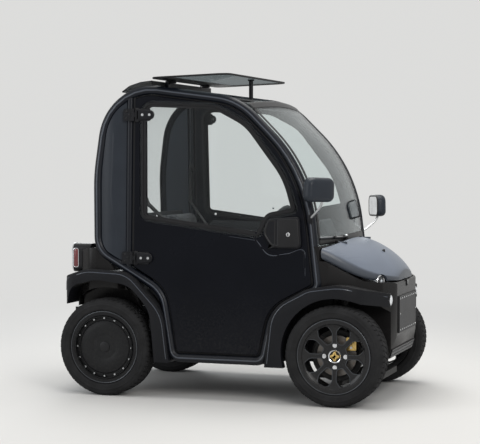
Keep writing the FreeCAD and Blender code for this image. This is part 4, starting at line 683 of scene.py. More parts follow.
def rivet_head(g, given):
    ball = g.add("GeometryNodeMeshUVSphere", None, {"Segments": 14, "Rings": 8, "Radius": given["Radius"]})
    squat = g.add("ShaderNodeCombineXYZ", None, {0: 1.0, 1: 1.0, 2: given["Height"] / given["Radius"]})
    return g.add("GeometryNodeTransform", None, {"Geometry": ball, "Scale": squat})


def bolt_head(g, given):
    depth = given["Height"] * 2.0
    six = {"Vertices": 6, "Radius": given["Radius"], "Depth": depth}
    ring = {"Vertices": 20, "Radius": given["Radius"] * 1.45, "Depth": depth * 0.35}
    head = g.add("GeometryNodeMeshCylinder", None, six)
    washer = g.add("GeometryNodeMeshCylinder", None, ring)
    join = g.add("GeometryNodeJoinGeometry")
    for part in (head, washer):
        g.tree.links.new(part.socket, join.socket.node.inputs[0])
    return join


def socket_head(g, given):
    """A round head with a hexagon socket sunk in it."""
    depth = given["Height"] * 2.0
    rim = g.add("GeometryNodeMeshCylinder", None, {"Vertices": 20, "Radius": given["Radius"], "Depth": depth})
    top = g.add("GeometryNodeMeshCylinder", None, {"Vertices": 6, "Radius": given["Radius"] * 0.5,
                                                   "Depth": depth})
    lift = g.add("ShaderNodeCombineXYZ", None, {2: given["Height"] * 1.5})
    dug = g.add("GeometryNodeTransform", None, {"Geometry": top, "Translation": lift})
    return g.add("GeometryNodeMeshBoolean", {"operation": "DIFFERENCE"}, {"Mesh 1": rim, "Mesh 2": dug},
                 output=0)


def run_tree(name, tree, mesh, values, material, body, smooth=35):
    """Runs a geometry tree on a mesh and keeps the result as a plain mesh."""
    obj = link(name, mesh)
    modifier = obj.modifiers.new("pattern", "NODES")
    modifier.node_group = tree
    values = dict(values, Material=material)
    for item in tree.interface.items_tree:
        if item.item_type == "SOCKET" and item.in_out == "INPUT" and item.name in values:
            modifier[item.identifier] = values[item.name]
    baked(obj)
    return settle(obj, material, body, smooth)


def spots_mesh(spots):
    """Points that carry the way they face."""
    mesh = bpy.data.meshes.new("spots")
    mesh.from_pydata([tuple(p) for p, _ in spots], [], [])
    facing = mesh.attributes.new("facing", "FLOAT_VECTOR", "POINT")
    facing.data.foreach_set("vector", [v for _, n in spots for v in n])
    return mesh


def fasteners(name, spots, kind, radius, height, material, body="chassis"):
    """Heads of one kind on (place, facing) pairs."""
    trees = bpy.data.node_groups
    heads = {"rivets": rivet_head, "bolts": bolt_head, "socket_screws": socket_head}
    tree = trees.get(kind) or facing_tree(kind, (("Radius", "Float"), ("Height", "Float")), heads[kind])
    values = {"Radius": radius, "Height": height}
    return run_tree(name, tree, spots_mesh(spots), values, material, body)


def around(name, mesh, count, centre, material, body, smooth=35):
    """Copies of a mesh round an axle."""
    tree = bpy.data.node_groups.get("around_the_axle") or around_tree()
    return run_tree(name, tree, mesh, {"Count": count, "Centre": Vector(centre)}, material, body,
                    smooth)


def plain_mesh(bm):
    """A mesh from a bmesh, its faces turned outwards."""
    mesh = bpy.data.meshes.new("part")
    bmesh.ops.recalc_face_normals(bm, faces=bm.faces)
    bm.to_mesh(mesh)
    bm.free()
    return mesh


# Sizes and colours that a user may change


def length(name, text, default):
    return FloatProperty(name=name, description=text, default=default, unit="LENGTH", precision=4)


def colour(name, text, default):
    return FloatVectorProperty(name=name, description=text, default=default, subtype="COLOR", min=0, max=1)


class CarSizes(bpy.types.PropertyGroup):
    rivet: length("Rivet", "Radius of the rivets on the front panel", 0.0042)
    screw: length("Screw", "Radius of the screws on hinges and lamps", 0.0065)
    wheel_bolt: length("Wheel bolt", "Radius of the four wheel bolts", 0.0076)
    cover_bolt: length("Cover bolt", "Radius of the bolts round the motor cover", 0.0046)
    tread_depth: length("Tread depth", "Height of the tread blocks", 0.0050)
    tread_blocks: IntProperty(name="Tread blocks", description="Blocks round a tyre", default=58, min=20)
    mesh_pitch: length("Mesh pitch", "Distance between holes of the grille", 0.0135)


class CarColours(bpy.types.PropertyGroup):
    body: colour("Body", "Enamel of door and body", (0.0018, 0.0024, 0.0048))
    hoop: colour("Hoop", "Enamel of the side frames", (0.0042, 0.0056, 0.0095))
    shell: colour("Shell", "Enamel of the nose and tail shells", (0.0075, 0.0070, 0.0072))
    lid: colour("Lid", "Satin enamel of the front lid", (0.118, 0.137, 0.172))
    plastic: colour("Plastic", "Moulded fenders and hinges", (0.0060, 0.0064, 0.0082))
    slate: colour("Slate", "Quarter panels behind the doors", (0.020, 0.024, 0.031))
    rubber: colour("Rubber", "Tyres", (0.011, 0.011, 0.0115))
    cloth: colour("Cloth", "Seat cloth", (0.045, 0.047, 0.052))
    floor: colour("Floor", "Plain studio floor", (0.62, 0.61, 0.59))
    backdrop: colour("Backdrop", "Plain studio background", (0.72, 0.72, 0.71))


# The steps


class CAR_OT_stage(bpy.types.Operator):
    """Pale floor, background, lamps and the camera"""

    bl_idname = "car.stage"
    bl_label = "Stage"

    def execute(self, context):
        colours = context.scene.car_colours
        context.scene.view_settings.view_transform = "Standard"
        floor = Finish("studio_floor")
        tone = floor.mix(floor.noise(0.8, 2.0), [v * 0.97 for v in colours.floor], colours.floor)
        near = floor.add("ShaderNodeBsdfPrincipled", None, {"Base Color": tone, "Roughness": 0.9,
                                                            "Specular IOR Level": 0.1})
        far = floor.add("ShaderNodeEmission", None, {"Color": tuple(colours.backdrop), "Strength": 1.0})
        reach = floor.add("ShaderNodeVectorMath", {"operation": "LENGTH"}, {0: floor.place}, output=1)
        mixed = {0: reach.rise(1.2, 5.5), 1: near, 2: far}
        material = floor.end(floor.add("ShaderNodeMixShader", None, mixed))
        bm = bmesh.new()
        bmesh.ops.create_circle(bm, cap_ends=True, radius=30.0, segments=96)
        mesh = bpy.data.meshes.new("floor")
        bm.to_mesh(mesh)
        bm.free()
        mesh.materials.append(material)
        link("floor", mesh)
        self.world(context, colours)
        lamps = (
            ("overhead", (0.2, 0.2, 4.2), (0.0, 0.0, 0.6), 3.6, 150.0, (1.0, 0.99, 0.97)),
            ("key", (3.4, -4.2, 3.2), (0.2, -0.2, 0.6), 2.4, 120.0, (1.0, 0.98, 0.95)),
            ("fill", (-4.2, -3.6, 2.2), (-0.2, -0.3, 0.7), 3.0, 60.0, (0.94, 0.97, 1.0)),
            ("back", (-2.5, 4.5, 3.0), (0.0, 0.2, 0.7), 3.0, 90.0, (0.95, 0.98, 1.0)),
        )
        for name, place, aim, size, power, tint in lamps:
            data = bpy.data.lights.new(name, "AREA")
            data.shape = "DISK"
            data.size = size
            data.energy = power
            data.color = tint
            lamp = bpy.data.objects.new(name, data)
            context.scene.collection.objects.link(lamp)
            lamp.location = place
            lamp.rotation_euler = (Vector(aim) - Vector(place)).to_track_quat("-Z", "Y").to_euler()
        self.camera(context)
        return {"FINISHED"}

    def world(self, context, colours):
        world = bpy.data.worlds.new("studio")
        context.scene.world = world
        world.use_nodes = True
        world.node_tree.nodes.clear()
        g = Graph(world.node_tree)
        path = world.node_tree.nodes.new("ShaderNodeLightPath")
        seen = Sum(g, path.outputs["Is Camera Ray"])
        for name in ("Is Glossy Ray", "Is Transmission Ray"):
            seen = seen.math("MAXIMUM", Sum(g, path.outputs[name]))
        light = g.add("ShaderNodeBackground", None, {"Color": (0.93, 0.96, 1.0), "Strength": 0.55})
        wall = g.add("ShaderNodeBackground", None, {"Color": tuple(colours.backdrop), "Strength": 1.0})
        both = g.add("ShaderNodeMixShader", None, {0: seen, 1: light, 2: wall})
        out = world.node_tree.nodes.new("ShaderNodeOutputWorld")
        world.node_tree.links.new(both.socket, out.inputs["Surface"])

    def camera(self, context):
        data = bpy.data.cameras.new("camera")
        data.lens = 112.5
        data.sensor_width = 36.0
        camera = bpy.data.objects.new("camera", data)
        context.scene.collection.objects.link(camera)
        camera.location = (2.508, -7.451, 1.197)
        camera.rotation_euler = (math.radians(90 - 2.385), 0.0, math.radians(18.92))
        context.scene.camera = camera


class CAR_OT_paint(bpy.types.Operator):
    """Paint, plastic, glass and metal on the car's own panels"""

    bl_idname = "car.paint"
    bl_label = "Paint"

    def execute(self, context):
        make_finishes()
        k = Finishes
        table = (
            (k.body, "door_panel_right door_panel_left"),
            (k.hoop, "side_frame_right side_frame_left roof_rails"),
            (k.shell, "front_shell rear_shell"),
            (k.lid, "hood"),
            (k.black, "front_fenders rear_fenders rear_bumper"),
            (k.black, "door_fittings_right door_fittings_left hinge_leaves"),
            (k.black, "wheelhouses door_mirrors wiper roof_lugs roof_cap roof_stay"),
            (k.slate, "quarter_panels"),
            (k.alloy, "rim_front_right rim_front_left"),
            (k.cover, "rim_rear_right rim_rear_left"),
            (k.tyre, "tyre_front_right tyre_front_left tyre_rear_right tyre_rear_left"),
            (k.disc, "brake_disc_right brake_disc_left"),
            (k.under, "knuckle_right knuckle_left front_suspension rear_suspension floor_pan seat_box"),
            (k.steel, "steering_rack"),
            (k.pane, "door_glass_right door_glass_left rear_window"),
            (k.screen, "windscreen"),
            (k.roof, "roof_panel"),
            (k.sheet, "front_plate front_grille"),
            (k.clear, "front_lamps"),
            (k.fine, "tail_lamps"),
            (k.pack, "battery_block"),
            (k.cabin, "dashboard steering_column"),
            (k.fine, "steering_wheel"),
            (k.cloth, "seat_cushions seat_backs"),
        )
        for material, names in table:
            for name in names.split():
                for slot in NODES[name].material_slots:
                    slot.material = material
        return {"FINISHED"}


TYRE = (
    (166.5, 50), (166.5, 53.5), (182.5, 54.5), (185, 57.5), (186.2, 64), (188.5, 67.2),
    (191.5, 69.8), (193.5, 70.6), (195.5, 70.8), (205, 72.2), (214, 71.9), (215, 72.4),
    (216.8, 72.2), (217.8, 71.2), (225, 70.6), (232, 69.2), (238, 65.5), (240.5, 60),
    (241, 40), (241, 20), (241, 0),
)
TREAD = (
    # middle from the tyre's centre line, half width, skew of its ends, share of the pitch filled
    (0.0, 0.0085, 0.004, 0.86),
    (0.0205, 0.0088, 0.006, 0.80),
    (-0.0205, 0.0088, -0.006, 0.80),
)


def tread_block(bm, middle, half, skew, fill, pitch, low, high, offset):
    """One block of the tread, standing at the top of the tyre."""
    reach = pitch * fill / 2
    corners = ((-1, -1), (1, -1), (1, 1), (-1, 1))
    rows = []
    for z, inset in ((low, 0.0), (high - 0.0008, 0.0), (high, 0.0009)):
        row = []
        for a, b in corners:
            x = offset + a * (reach - inset) + b * skew
            row.append(bm.verts.new((x, middle + b * (half - inset), z)))
        rows.append(row)
    tube(bm, rows)


def shoulder_block(bm, side, pitch, offset):
    """A block that turns over the tyre's shoulder."""
    line = ((0.0355, 0.2458), (0.0480, 0.2452), (0.0585, 0.2425), (0.0655, 0.2370), (0.0698, 0.2290))
    under = ((0.0355, 0.2395), (0.0480, 0.2390), (0.0560, 0.2370), (0.0620, 0.2310), (0.0685, 0.2270))
    reach = pitch * 0.40
    rows = []
    for end in (-1, 1):
        skew = end * reach
        outer = [bm.verts.new((offset + skew + a * 0.10 * side, side * a, r)) for a, r in line]
        inner = [bm.verts.new((offset + skew + a * 0.10 * side, side * a, r)) for a, r in under]
        rows.append((outer, inner))
    (o1, i1), (o2, i2) = rows
    for n in range(len(line) - 1):
        bm.faces.new((o1[n], o1[n + 1], o2[n + 1], o2[n]))
        bm.faces.new((o1[n], i1[n], i1[n + 1], o1[n + 1]))
        bm.faces.new((o2[n], o2[n + 1], i2[n + 1], i2[n]))
    for o, i, p, q in ((o1[0], i1[0], o2[0], i2[0]), (o1[-1], i1[-1], o2[-1], i2[-1])):
        bm.faces.new((o, p, q, i))


class CAR_OT_tyres(bpy.types.Operator):
    """Tyres with moulded sidewalls and blocks of tread"""

    bl_idname = "car.tyres"
    bl_label = "Tyres"

    def execute(self, context):
        sizes = context.scene.car_sizes
        count = sizes.tread_blocks
        pitch = 2 * math.pi * WHEEL_Z / count
        profile = list(TYRE) + [(r, -a) for r, a in reversed(TYRE[:-1])]
        for name, x, side in WHEELS:
            body = "wheel_" + name
            centre = (x, side * WHEEL_Y, WHEEL_Z)
            tyre = lathe(profile, centre, (0, side, 0), steps=160)
            tyre = from_bm("tyre_wall_" + name, tyre, Finishes.tyre, body, smooth=50)
            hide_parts("tyre_" + name)
            bm = bmesh.new()
            for n, (middle, half, skew, fill) in enumerate(TREAD):
                shift = pitch * 0.33 * n
                tread_block(bm, middle, half, skew, fill, pitch, 0.2400, 0.2405 + sizes.tread_depth, shift)
            for hand in (-1, 1):
                shoulder_block(bm, hand, pitch, pitch * 0.25 * hand)
            around("tread_" + name, plain_mesh(bm), count, centre, Finishes.tread, body, smooth=30)
        return {"FINISHED"}


OPENINGS = 8
COVER_BOLTS = 16


class CAR_OT_wheels(bpy.types.Operator):
    """Wheel bolts, hub caps, machined edges, calipers and the motor covers' rings"""

    bl_idname = "car.wheels"
    bl_label = "Wheels"

    def execute(self, context):
        sizes = context.scene.car_sizes
        for name, x, side in WHEELS:
            body = "wheel_" + name
            hub = Vector((x, side * WHEEL_Y, WHEEL_Z))
            out = Vector((0, side, 0))
            place = facing(hub, AHEAD, UP, out)
            lip = lathe(((179, 63), (181.2, 63.8), (183.6, 62.8), (181.2, 61.6)), hub, out, 128)
            from_bm("rim_lip_" + name, lip, Finishes.edge, body)
            stem = lathe(((0, 0), (4.2, 0), (4.2, 16), (3, 17), (3, 22), (0, 22)),
                         place(0.146, 0.045, 0.052), out, 16, closed=False)
            from_bm("valve_" + name, stem, Finishes.seal, body)
            if x > 0:
                self.front(sizes, name, body, hub, out, place)
            else:
                self.rear(sizes, name, body, hub, out, place)
        return {"FINISHED"}

    def front(self, sizes, name, body, hub, out, place):
        spots = [(place(0.054 * c, 0.054 * s, 0.0335), out) for c, s in ((1, 0), (0, 1), (-1, 0), (0, -1))]
        fasteners("wheel_bolts_" + name, spots, "bolts", sizes.wheel_bolt, 0.007, Finishes.chrome, body)
        ring = lathe(((26.5, 31), (33.5, 31), (33.5, 37), (31, 40.5), (26.5, 38)), hub, out, 64)
        from_bm("hub_ring_" + name, ring, Finishes.chrome, body)
        lobes = [Vector(((0.0195 + 0.0045 * math.cos(4 * a)) * math.cos(a),
                         (0.0195 + 0.0045 * math.cos(4 * a)) * math.sin(a)))
                 for a in around_circle(96)]
        cap = plate(lobes, ((0, 30), (0, 40), (1.2, 42.2), (6, 43.8), (12, 44.6)), place)
        from_bm("hub_cap_" + name, cap, Finishes.brass, body)
        dish = lathe(((0, 32.5), (26.8, 32.5), (26.8, 34.5), (0, 34.5)), hub, out, 48, closed=False)
        from_bm("hub_dish_" + name, dish, Finishes.alloy, body)
        drop = rounded(((65, -15, 12), (116, -36, 28.8), (152, -25.2, 18), (152, 25.2, 18), (116, 36, 28.8),
                        (65, 15, 12)))
        turn = Matrix.Rotation(math.radians(180 / OPENINGS), 2)

        def web(a, b, high):
            a, b = turn @ Vector((a, b))
            r = math.hypot(a, b)
            along = 0.0343 + max(0.0, r - 0.05) / 0.093 * 0.016
            return Vector((a, (along + high) * out.y, b))

        ribbon = moulding(offset(drop, -0.0012), ((-1.6, -0.6), (-1.2, 1.4), (1.6, 1.4), (2.6, -0.6)), web)
        around("window_edges_" + name, plain_mesh(ribbon), OPENINGS, hub, Finishes.edge, body)
        self.openings(name, body, hub, out, drop)
        knuckle = "knuckle_" + name.split("_")[1]
        jaw = rectangle(50, 28, 102, 94, 9)
        jaw = plate(jaw, ((-1.2, -22), (-1.2, 10.5), (2, 13.5), (10, 14.5)), place)
        from_bm("caliper_" + name, jaw, Finishes.brass, knuckle)
        spots = [(place(0.076, v, 0.0142), out) for v in (0.044, 0.078)]
        fasteners("caliper_bolts_" + name, spots, "socket_screws", 0.006, 0.003, Finishes.steel, knuckle)
        lo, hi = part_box("brake_disc_" + name.split("_")[1])
        back = (min(abs(lo[1]), abs(hi[1])) - WHEEL_Y - 0.010) * 1000
        shield = lathe(((34, back), (118, back), (123, back + 3), (124.5, back + 12), (126.2, back + 12),
                        (126.2, back - 2), (34, back - 2)), hub, out, 96)
        from_bm("dust_shield_" + name, shield, Finishes.under, knuckle)

    def openings(self, name, body, hub, out, drop):
        """The rim with the inner ends of its openings rounded out."""
        rim = link("rim_cut_" + name, plain_mesh(node_copy("rim_" + name, 1e-6)))
        knives = bmesh.new()
        for n in range(OPENINGS):
            turn = Matrix.Rotation(math.radians(360 / OPENINGS * (n + 0.5)), 2)
            line = [turn @ p for p in drop]
            knife = plate(line, ((0, -4), (0, 74)), facing(hub, AHEAD, UP, out))
            knife.faces.new(knife.verts[:][:len(line)][::-1])
            grown(knives, knife)
        cutter = link("rim_knives_" + name, plain_mesh(knives))
        cut = rim.modifiers.new("openings", "BOOLEAN")
        cut.operation = "DIFFERENCE"
        cut.solver = "EXACT"
        cut.object = cutter
        baked(rim)
        bpy.data.objects.remove(cutter)
        settle(rim, Finishes.alloy, body, smooth=32)
        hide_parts("rim_" + name)

    def rear(self, sizes, name, body, hub, out, place):
        spots = [(place(0.148 * math.cos(a), 0.148 * math.sin(a), 0.0530), out)
                 for a in around_circle(COVER_BOLTS)]
        fasteners("cover_bolts_" + name, spots, "socket_screws", sizes.cover_bolt, 0.0035, Finishes.steel,
                  body)
        rings = lathe(((0, 50.5), (60, 50.5), (64, 52.5), (118, 52.5), (121, 51.2),
                       (128.5, 51.2), (130.5, 50.5)), hub, out, 96, closed=False)
        from_bm("cover_face_" + name, rings, Finishes.cover, body)
        cap = lathe(((0, 57.5), (20, 57), (26, 54.5), (27, 52)), hub, out, 48, closed=False)
        from_bm("motor_cap_" + name, cap, Finishes.fine, body)


WINDOW = ((-404, 902, 38), (-412, 1484, 58), (-20, 1466, 200), (150, 1376, 260), (352, 1112, 420),
          (402, 944, 24), (262, 918, 46), (214, 822, 30))
SIDE_RING = ((-658, 1121, 900), (-596, 1581, 267), (95, 1489, 328), (447, 1139, 747), (516, 572, 45),
             (289, 452, 160), (238, 207, 45), (-237, 207, 45), (-296, 535, 150), (-650, 738, 120))
HINGES = (702, 1422)
RIDGE = ((199, 842, 0), (197, 800, 14), (219, 772, 20), (262, 746, 26), (314, 730, 40), (372, 736, 40),
         (424, 757, 20), (446, 740, 12), (450, 672, 0))


class CAR_OT_doors(bpy.types.Operator):
    """Seals, hinge covers, latches, pressed ridges, a painted highlight line and inner trim of both doors"""

    bl_idname = "car.doors"
    bl_label = "Doors"

    def execute(self, context):
        sizes = context.scene.car_sizes
        for name, side in SIDES:
            body = "door_" + name
            out = outward(side)
            spot = side_place(side)
            glass = rounded(WINDOW)
            seal = ((-3, -3.5), (-3, 0.5), (1, 1.8), (7.5, 1.2), (9.5, -3.5))
            from_bm("window_seal_" + name, moulding(glass, seal, spot), Finishes.seal, body)
            frit = ((4, -3), (4, -2.6), (20, -2.6), (20, -3))
            from_bm("window_frit_" + name, moulding(glass, frit, spot), Finishes.fine, body)
            inner = ((-4, -41.5), (-4, -44.5), (4, -46), (12, -44), (12, -40.5))
            from_bm("inner_seal_" + name, moulding(glass, inner, spot), Finishes.seal, body)
            front = open_run([p for p in offset(rounded(SIDE_RING), 0.0315) if p.x > -0.447])
            lip = ((-9.2, -26), (-9.6, -13), (-3.5, -6), (0, -10), (0, -26))
            from_bm("door_seal_" + name, moulding(front, lip, spot, cyclic=False), Finishes.seal, body)
            rear = [Vector((-0.4555, 0.668)), Vector((-0.4555, 1.524))]
            strip = ((-6.8, -14), (-6.8, -26), (7.2, -26), (7.2, -14))
            from_bm("door_rear_seal_" + name, moulding(rear, strip, spot, cyclic=False), Finishes.seal, body)
            ridge = rounded(RIDGE, cyclic=False)
            raised = ((-7.5, -4), (-3.5, -1.2), (0, -0.2), (3.5, -1.2), (7.5, -4))
            from_bm("door_ridge_" + name, moulding(ridge, raised, spot, cyclic=False), Finishes.body, body)
            self.hinges(sizes, name, body, out, spot)
            self.latch(name, body, out, spot)
            self.inside(name, body, spot)
            self.pressed_line_highlight(name, body, side)
            dot = [(spot(-0.012, 0.928, -0.0026), out)]
            fasteners("pane_screw_" + name, dot, "rivets", 0.006, 0.003, Finishes.steel, body)
        return {"FINISHED"}

    def hinges(self, sizes, name, body, out, spot):
        tall = 31
        for height, level in zip(HINGES, ("low", "high")):
            leaf = rounded(((-440, height - tall, 6), (-356, height - tall * 0.72, 20), (-338, height, 24),
                            (-356, height + tall * 0.72, 20), (-440, height + tall, 6)))
            cover = plate(leaf, ((0, -3), (0, 6.8), (1.6, 8.8), (5, 10.2), (12, 11)), spot)
            from_bm(f"hinge_cover_{level}_{name}", cover, Finishes.black, body)
            base = rectangle(-447, height - tall - 3, -425, height + tall + 3, 5)
            step = plate(base, ((0, -3), (0, 6), (2, 7.8)), spot)
            from_bm(f"hinge_step_{level}_{name}", step, Finishes.fine, body)
            spots = [(spot(x, height / 1000, 0.0108), out) for x in (-0.404, -0.366)]
            fasteners(f"hinge_screws_{level}_{name}", spots, "socket_screws", sizes.screw, 0.0035,
                      Finishes.steel, body)

    def latch(self, name, body, out, spot):
        cup = rounded(((240, 836, 50), (264, 900, 18), (305, 905, 8), (305, 772, 8), (288, 768, 40)))
        well = plate(cup, ((0, 12.8), (0, 14.6), (4, 15.8), (7, 14), (12, 10)), spot)
        from_bm("latch_grip_" + name, well, Finishes.fine, body)
        box = rounded(((312, 770, 8), (428, 772, 16), (417, 911, 14), (312, 906, 8)))
        paddle = plate(box, ((0, 12.8), (0, 16), (3, 18), (8, 18.8)), spot)
        from_bm("latch_paddle_" + name, paddle, Finishes.fine, body)
        lock = lathe(((0, 21), (3.5, 21), (4, 20), (8.5, 20), (10.5, 18.5),
                      (10.5, 16), (0, 16)), spot(0.369, 0.832, 0.0), out, 32, closed=False)
        from_bm("lock_" + name, lock, Finishes.steel, body)
        slit = rectangle(366.8, 826, 371.2, 838, 1, steps=2)
        slit = plate(slit, ((0, 20.5), (0, 21.4)), spot)
        from_bm("lock_slit_" + name, slit, Finishes.seal, body)

    def pressed_line_highlight(self, name, body, side):
        """A lighter line that runs below the latch: a painted highlight along the pressed line there."""
        run = rounded(((60, 818, 0), (205, 800, 40), (262, 722, 60), (372, 740, 60), (452, 772, 24),
                       (452, 632, 0)), cyclic=False)
        line = [land("door_panel_" + name, (p.x, side, p.y), (0, -side, 0))[0] for p in run]
        fade = [0.3 + 0.7 * math.sin(math.pi * i / (len(line) - 1)) for i in range(len(line))]
        from_bm("door_line_" + name, swept(line, 0.0026, 8, taper=fade), Finishes.bead, body)

    def inside(self, name, body, spot):
        card = rounded(((-380, 300, 40), (190, 300, 90), (210, 770, 90), (170, 850, 40), (-380, 862, 40)))
        trim = plate(card, ((0, -41.5), (0, -45), (6, -48), (30, -49)), spot)
        from_bm("door_card_" + name, trim, Finishes.cabin, body)
        pull = [spot(x, z, -h) for x, z, h in ((0.08, 0.80, 0.046), (0.07, 0.80, 0.070), (0.0, 0.795, 0.078),
                                               (-0.12, 0.79, 0.078), (-0.19, 0.785, 0.070),
                                               (-0.20, 0.785, 0.046))]
        from_bm("door_pull_" + name, swept(pull, 0.010, 16), Finishes.fine, body)
        net = rounded(((-330, 340, 30), (60, 340, 40), (60, 470, 30), (-330, 500, 30)))
        pocket = plate(net, ((0, -48), (0, -56), (8, -59), (30, -60)), spot)
        from_bm("door_pocket_" + name, pocket, Finishes.black, body)


# Painted highlight line along the crown of each fender: x, height, corner radius in millimetres
FENDER_HIGHLIGHTS = (
    ("rear", ((-262, 200, 0), (-290, 424, 200), (-476, 618, 140), (-700, 627, 190), (-815, 588, 30),
              (-818, 530, 0))),
    ("front", ((268, 200, 0), (298, 462, 160), (478, 558, 112), (640, 581, 230), (824, 528, 0))),
)


class CAR_OT_frames(bpy.types.Operator):
    """Seams and clips of the side frames, quarter panels, roof edge and screens, with painted highlight lines
    on seams and fender crowns
    """

    bl_idname = "car.frames"
    bl_label = "Frames and glass edges"

    def execute(self, context):
        for name, side in SIDES:
            out = outward(side)
            spot = side_place(side)
            ring = offset(rounded(SIDE_RING), 0.0)
            # A raised seam round the side frame in the lighter colour: a painted highlight along the frame.
            seam = ((-4.5, -1.2), (-2.5, 0.6), (0, 1), (2.5, 0.6), (4.5, -1.2))
            from_bm("frame_bead_" + name, moulding(ring, seam, spot), Finishes.bead, "chassis")
            # Thin lines in the lighter colour along each fender's crown: painted highlights where its rounded
            # edge catches the light.
            for label, run in FENDER_HIGHLIGHTS:
                line = [land(label + "_fenders", (p.x, side, p.y), (0, -side, 0))[0]
                        for p in rounded(run, cyclic=False)]
                from_bm(f"{label}_fender_line_{name}", swept(line, 0.0024, 8, smooth=False), Finishes.bead)
            # A cord along the quarter panel's edge in the lighter colour: a painted highlight line.
            quarter = open_run([p for p in offset(rounded(SIDE_RING), 0.0235) if p.x < -0.505])
            cord = ((-2, -20), (1, -12.5), (5, -14), (8, -22))
            panel = moulding(quarter, cord, spot, cyclic=False)
            from_bm("quarter_seal_" + name, panel, Finishes.bead)
            crease = rounded(((-535, 800, 0), (-572, 1000, 600), (-560, 1330, 0)), cyclic=False)
            fold = ((-10, 0), (0, 2.2), (10, 0))
            rows = moulding(crease, fold, lambda a, b, high, side=side: self.on_panel(side, a, b, high),
                            cyclic=False)
            from_bm("quarter_fold_" + name, rows, Finishes.slate, "chassis")
            for height in HINGES:
                spots = [(spot(x, (height + dz) / 1000, 0.0064), out)
                         for x, dz in ((-0.493, 17), (-0.493, -17), (-0.478, 0))]
                fasteners(f"frame_screws_{height}_{name}", spots, "rivets", 0.0055, 0.003, Finishes.fine)
        self.screen()
        self.roof()
        return {"FINISHED"}

    def on_panel(self, side, a, b, high):
        point, _ = land("quarter_panels", on_side(side, a, -0.2, b), -outward(side))
        return point + outward(side) * high

    def screen(self):
        """Black ceramic band round the windscreen, laid on the glass."""
        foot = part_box("windscreen")[0][2]
        top = self.glass_top(0.40) - 0.004
        band = [foot + 0.004 + (top - foot - 0.004) * i / 40 for i in range(41)]
        for name, side in SIDES:
            rows = []
            for z in band:
                edge = self.glass_edge(side, z)
                rows.append([self.on_screen(edge - side * (0.001 + 0.0085 * k), z, 0.0008) for k in range(4)])
            self.thick("screen_band_" + name, rows)
        ends = (("top", top, lambda y, j: self.glass_top(y) - 0.003 - 0.0075 * j),
                ("foot", foot + 0.02, lambda y, j: foot + 0.003 + 0.009 * j))
        for label, level, height in ends:
            half = abs(self.glass_edge(1, level)) - 0.003
            columns = [half * (2 * k / 48 - 1) for k in range(49)]
            rows = [[self.on_screen(y, height(y, j), 0.0009) for y in columns] for j in range(5)]
            self.thick("screen_band_" + label, rows)

    def glass_top(self, y):
        """How high the glass reaches at a distance from the middle."""
        return reach_of("windscreen", 1.20, 1.60, lambda z: Vector((1.2, y, z)), BACK)

    def glass_edge(self, side, z):
        """How far the glass reaches sideways at a height."""
        return side * reach_of("windscreen", 0.30, 0.52, lambda y: Vector((1.2, side * y, z)), BACK)

    def on_screen(self, y, z, lift):
        """A point just off the windscreen."""
        point, normal = land("windscreen", (1.2, y, z), BACK)
        return point + normal * lift

    def thick(self, name, rows):
        """A thin band that keeps its depth in a modifier."""
        shell = from_bm(name, skin(rows), Finishes.fine).modifiers.new("depth", "SOLIDIFY")
        shell.thickness = 0.0006
        shell.offset = 0

    def roof(self):
        """Rubber edge and black band of the roof panel, and the gasket that it closes on."""
        lo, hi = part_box("roof_panel")
        line = rounded(((lo[0] * 1000 + 1, -498, 40), (hi[0] * 1000 - 1, -498, 60),
                        (hi[0] * 1000 - 1, 498, 60), (lo[0] * 1000 + 1, 498, 40)))
        rise = (hi[2] - lo[2] - 0.005) / (hi[0] - lo[0])

        def under(a, b, high):
            return Vector((a, b, lo[2] + 0.0008 + (a - lo[0]) * rise + high))

        edge = ((-1.5, -2.2), (-3, 2.2), (-1.5, 6.6), (3, 6.6), (3, 5.4),
                (1, 5), (1, -0.6), (6, -1), (6, -2.2))
        from_bm("roof_panel_seal", moulding(line, edge, under), Finishes.seal, "roof_panel")
        patch = rounded(((lo[0] * 1000 + 8, -480, 30), (lo[0] * 1000 + 120, -480, 20),
                         (lo[0] * 1000 + 120, 480, 20), (lo[0] * 1000 + 8, 480, 30)))
        from_bm("roof_panel_band", plate(patch, ((0, -2.2), (0, -1)), under), Finishes.fine, "roof_panel")
        rail_x = 0.062
        rail_top = land("roof_rails", (rail_x, 0.1, 1.9), (0, 0, -1))[0].z
        pad = rounded_block((rail_x, 0, rail_top + 0.004), (0.050, 0.84, 0.008), 0.003)
        lean = Matrix.Rotation(math.radians(15.5), 3, "Y")
        bmesh.ops.rotate(pad, cent=(rail_x, 0, rail_top), matrix=lean, verts=pad.verts)
        from_bm("roof_gasket", pad, Finishes.seal)


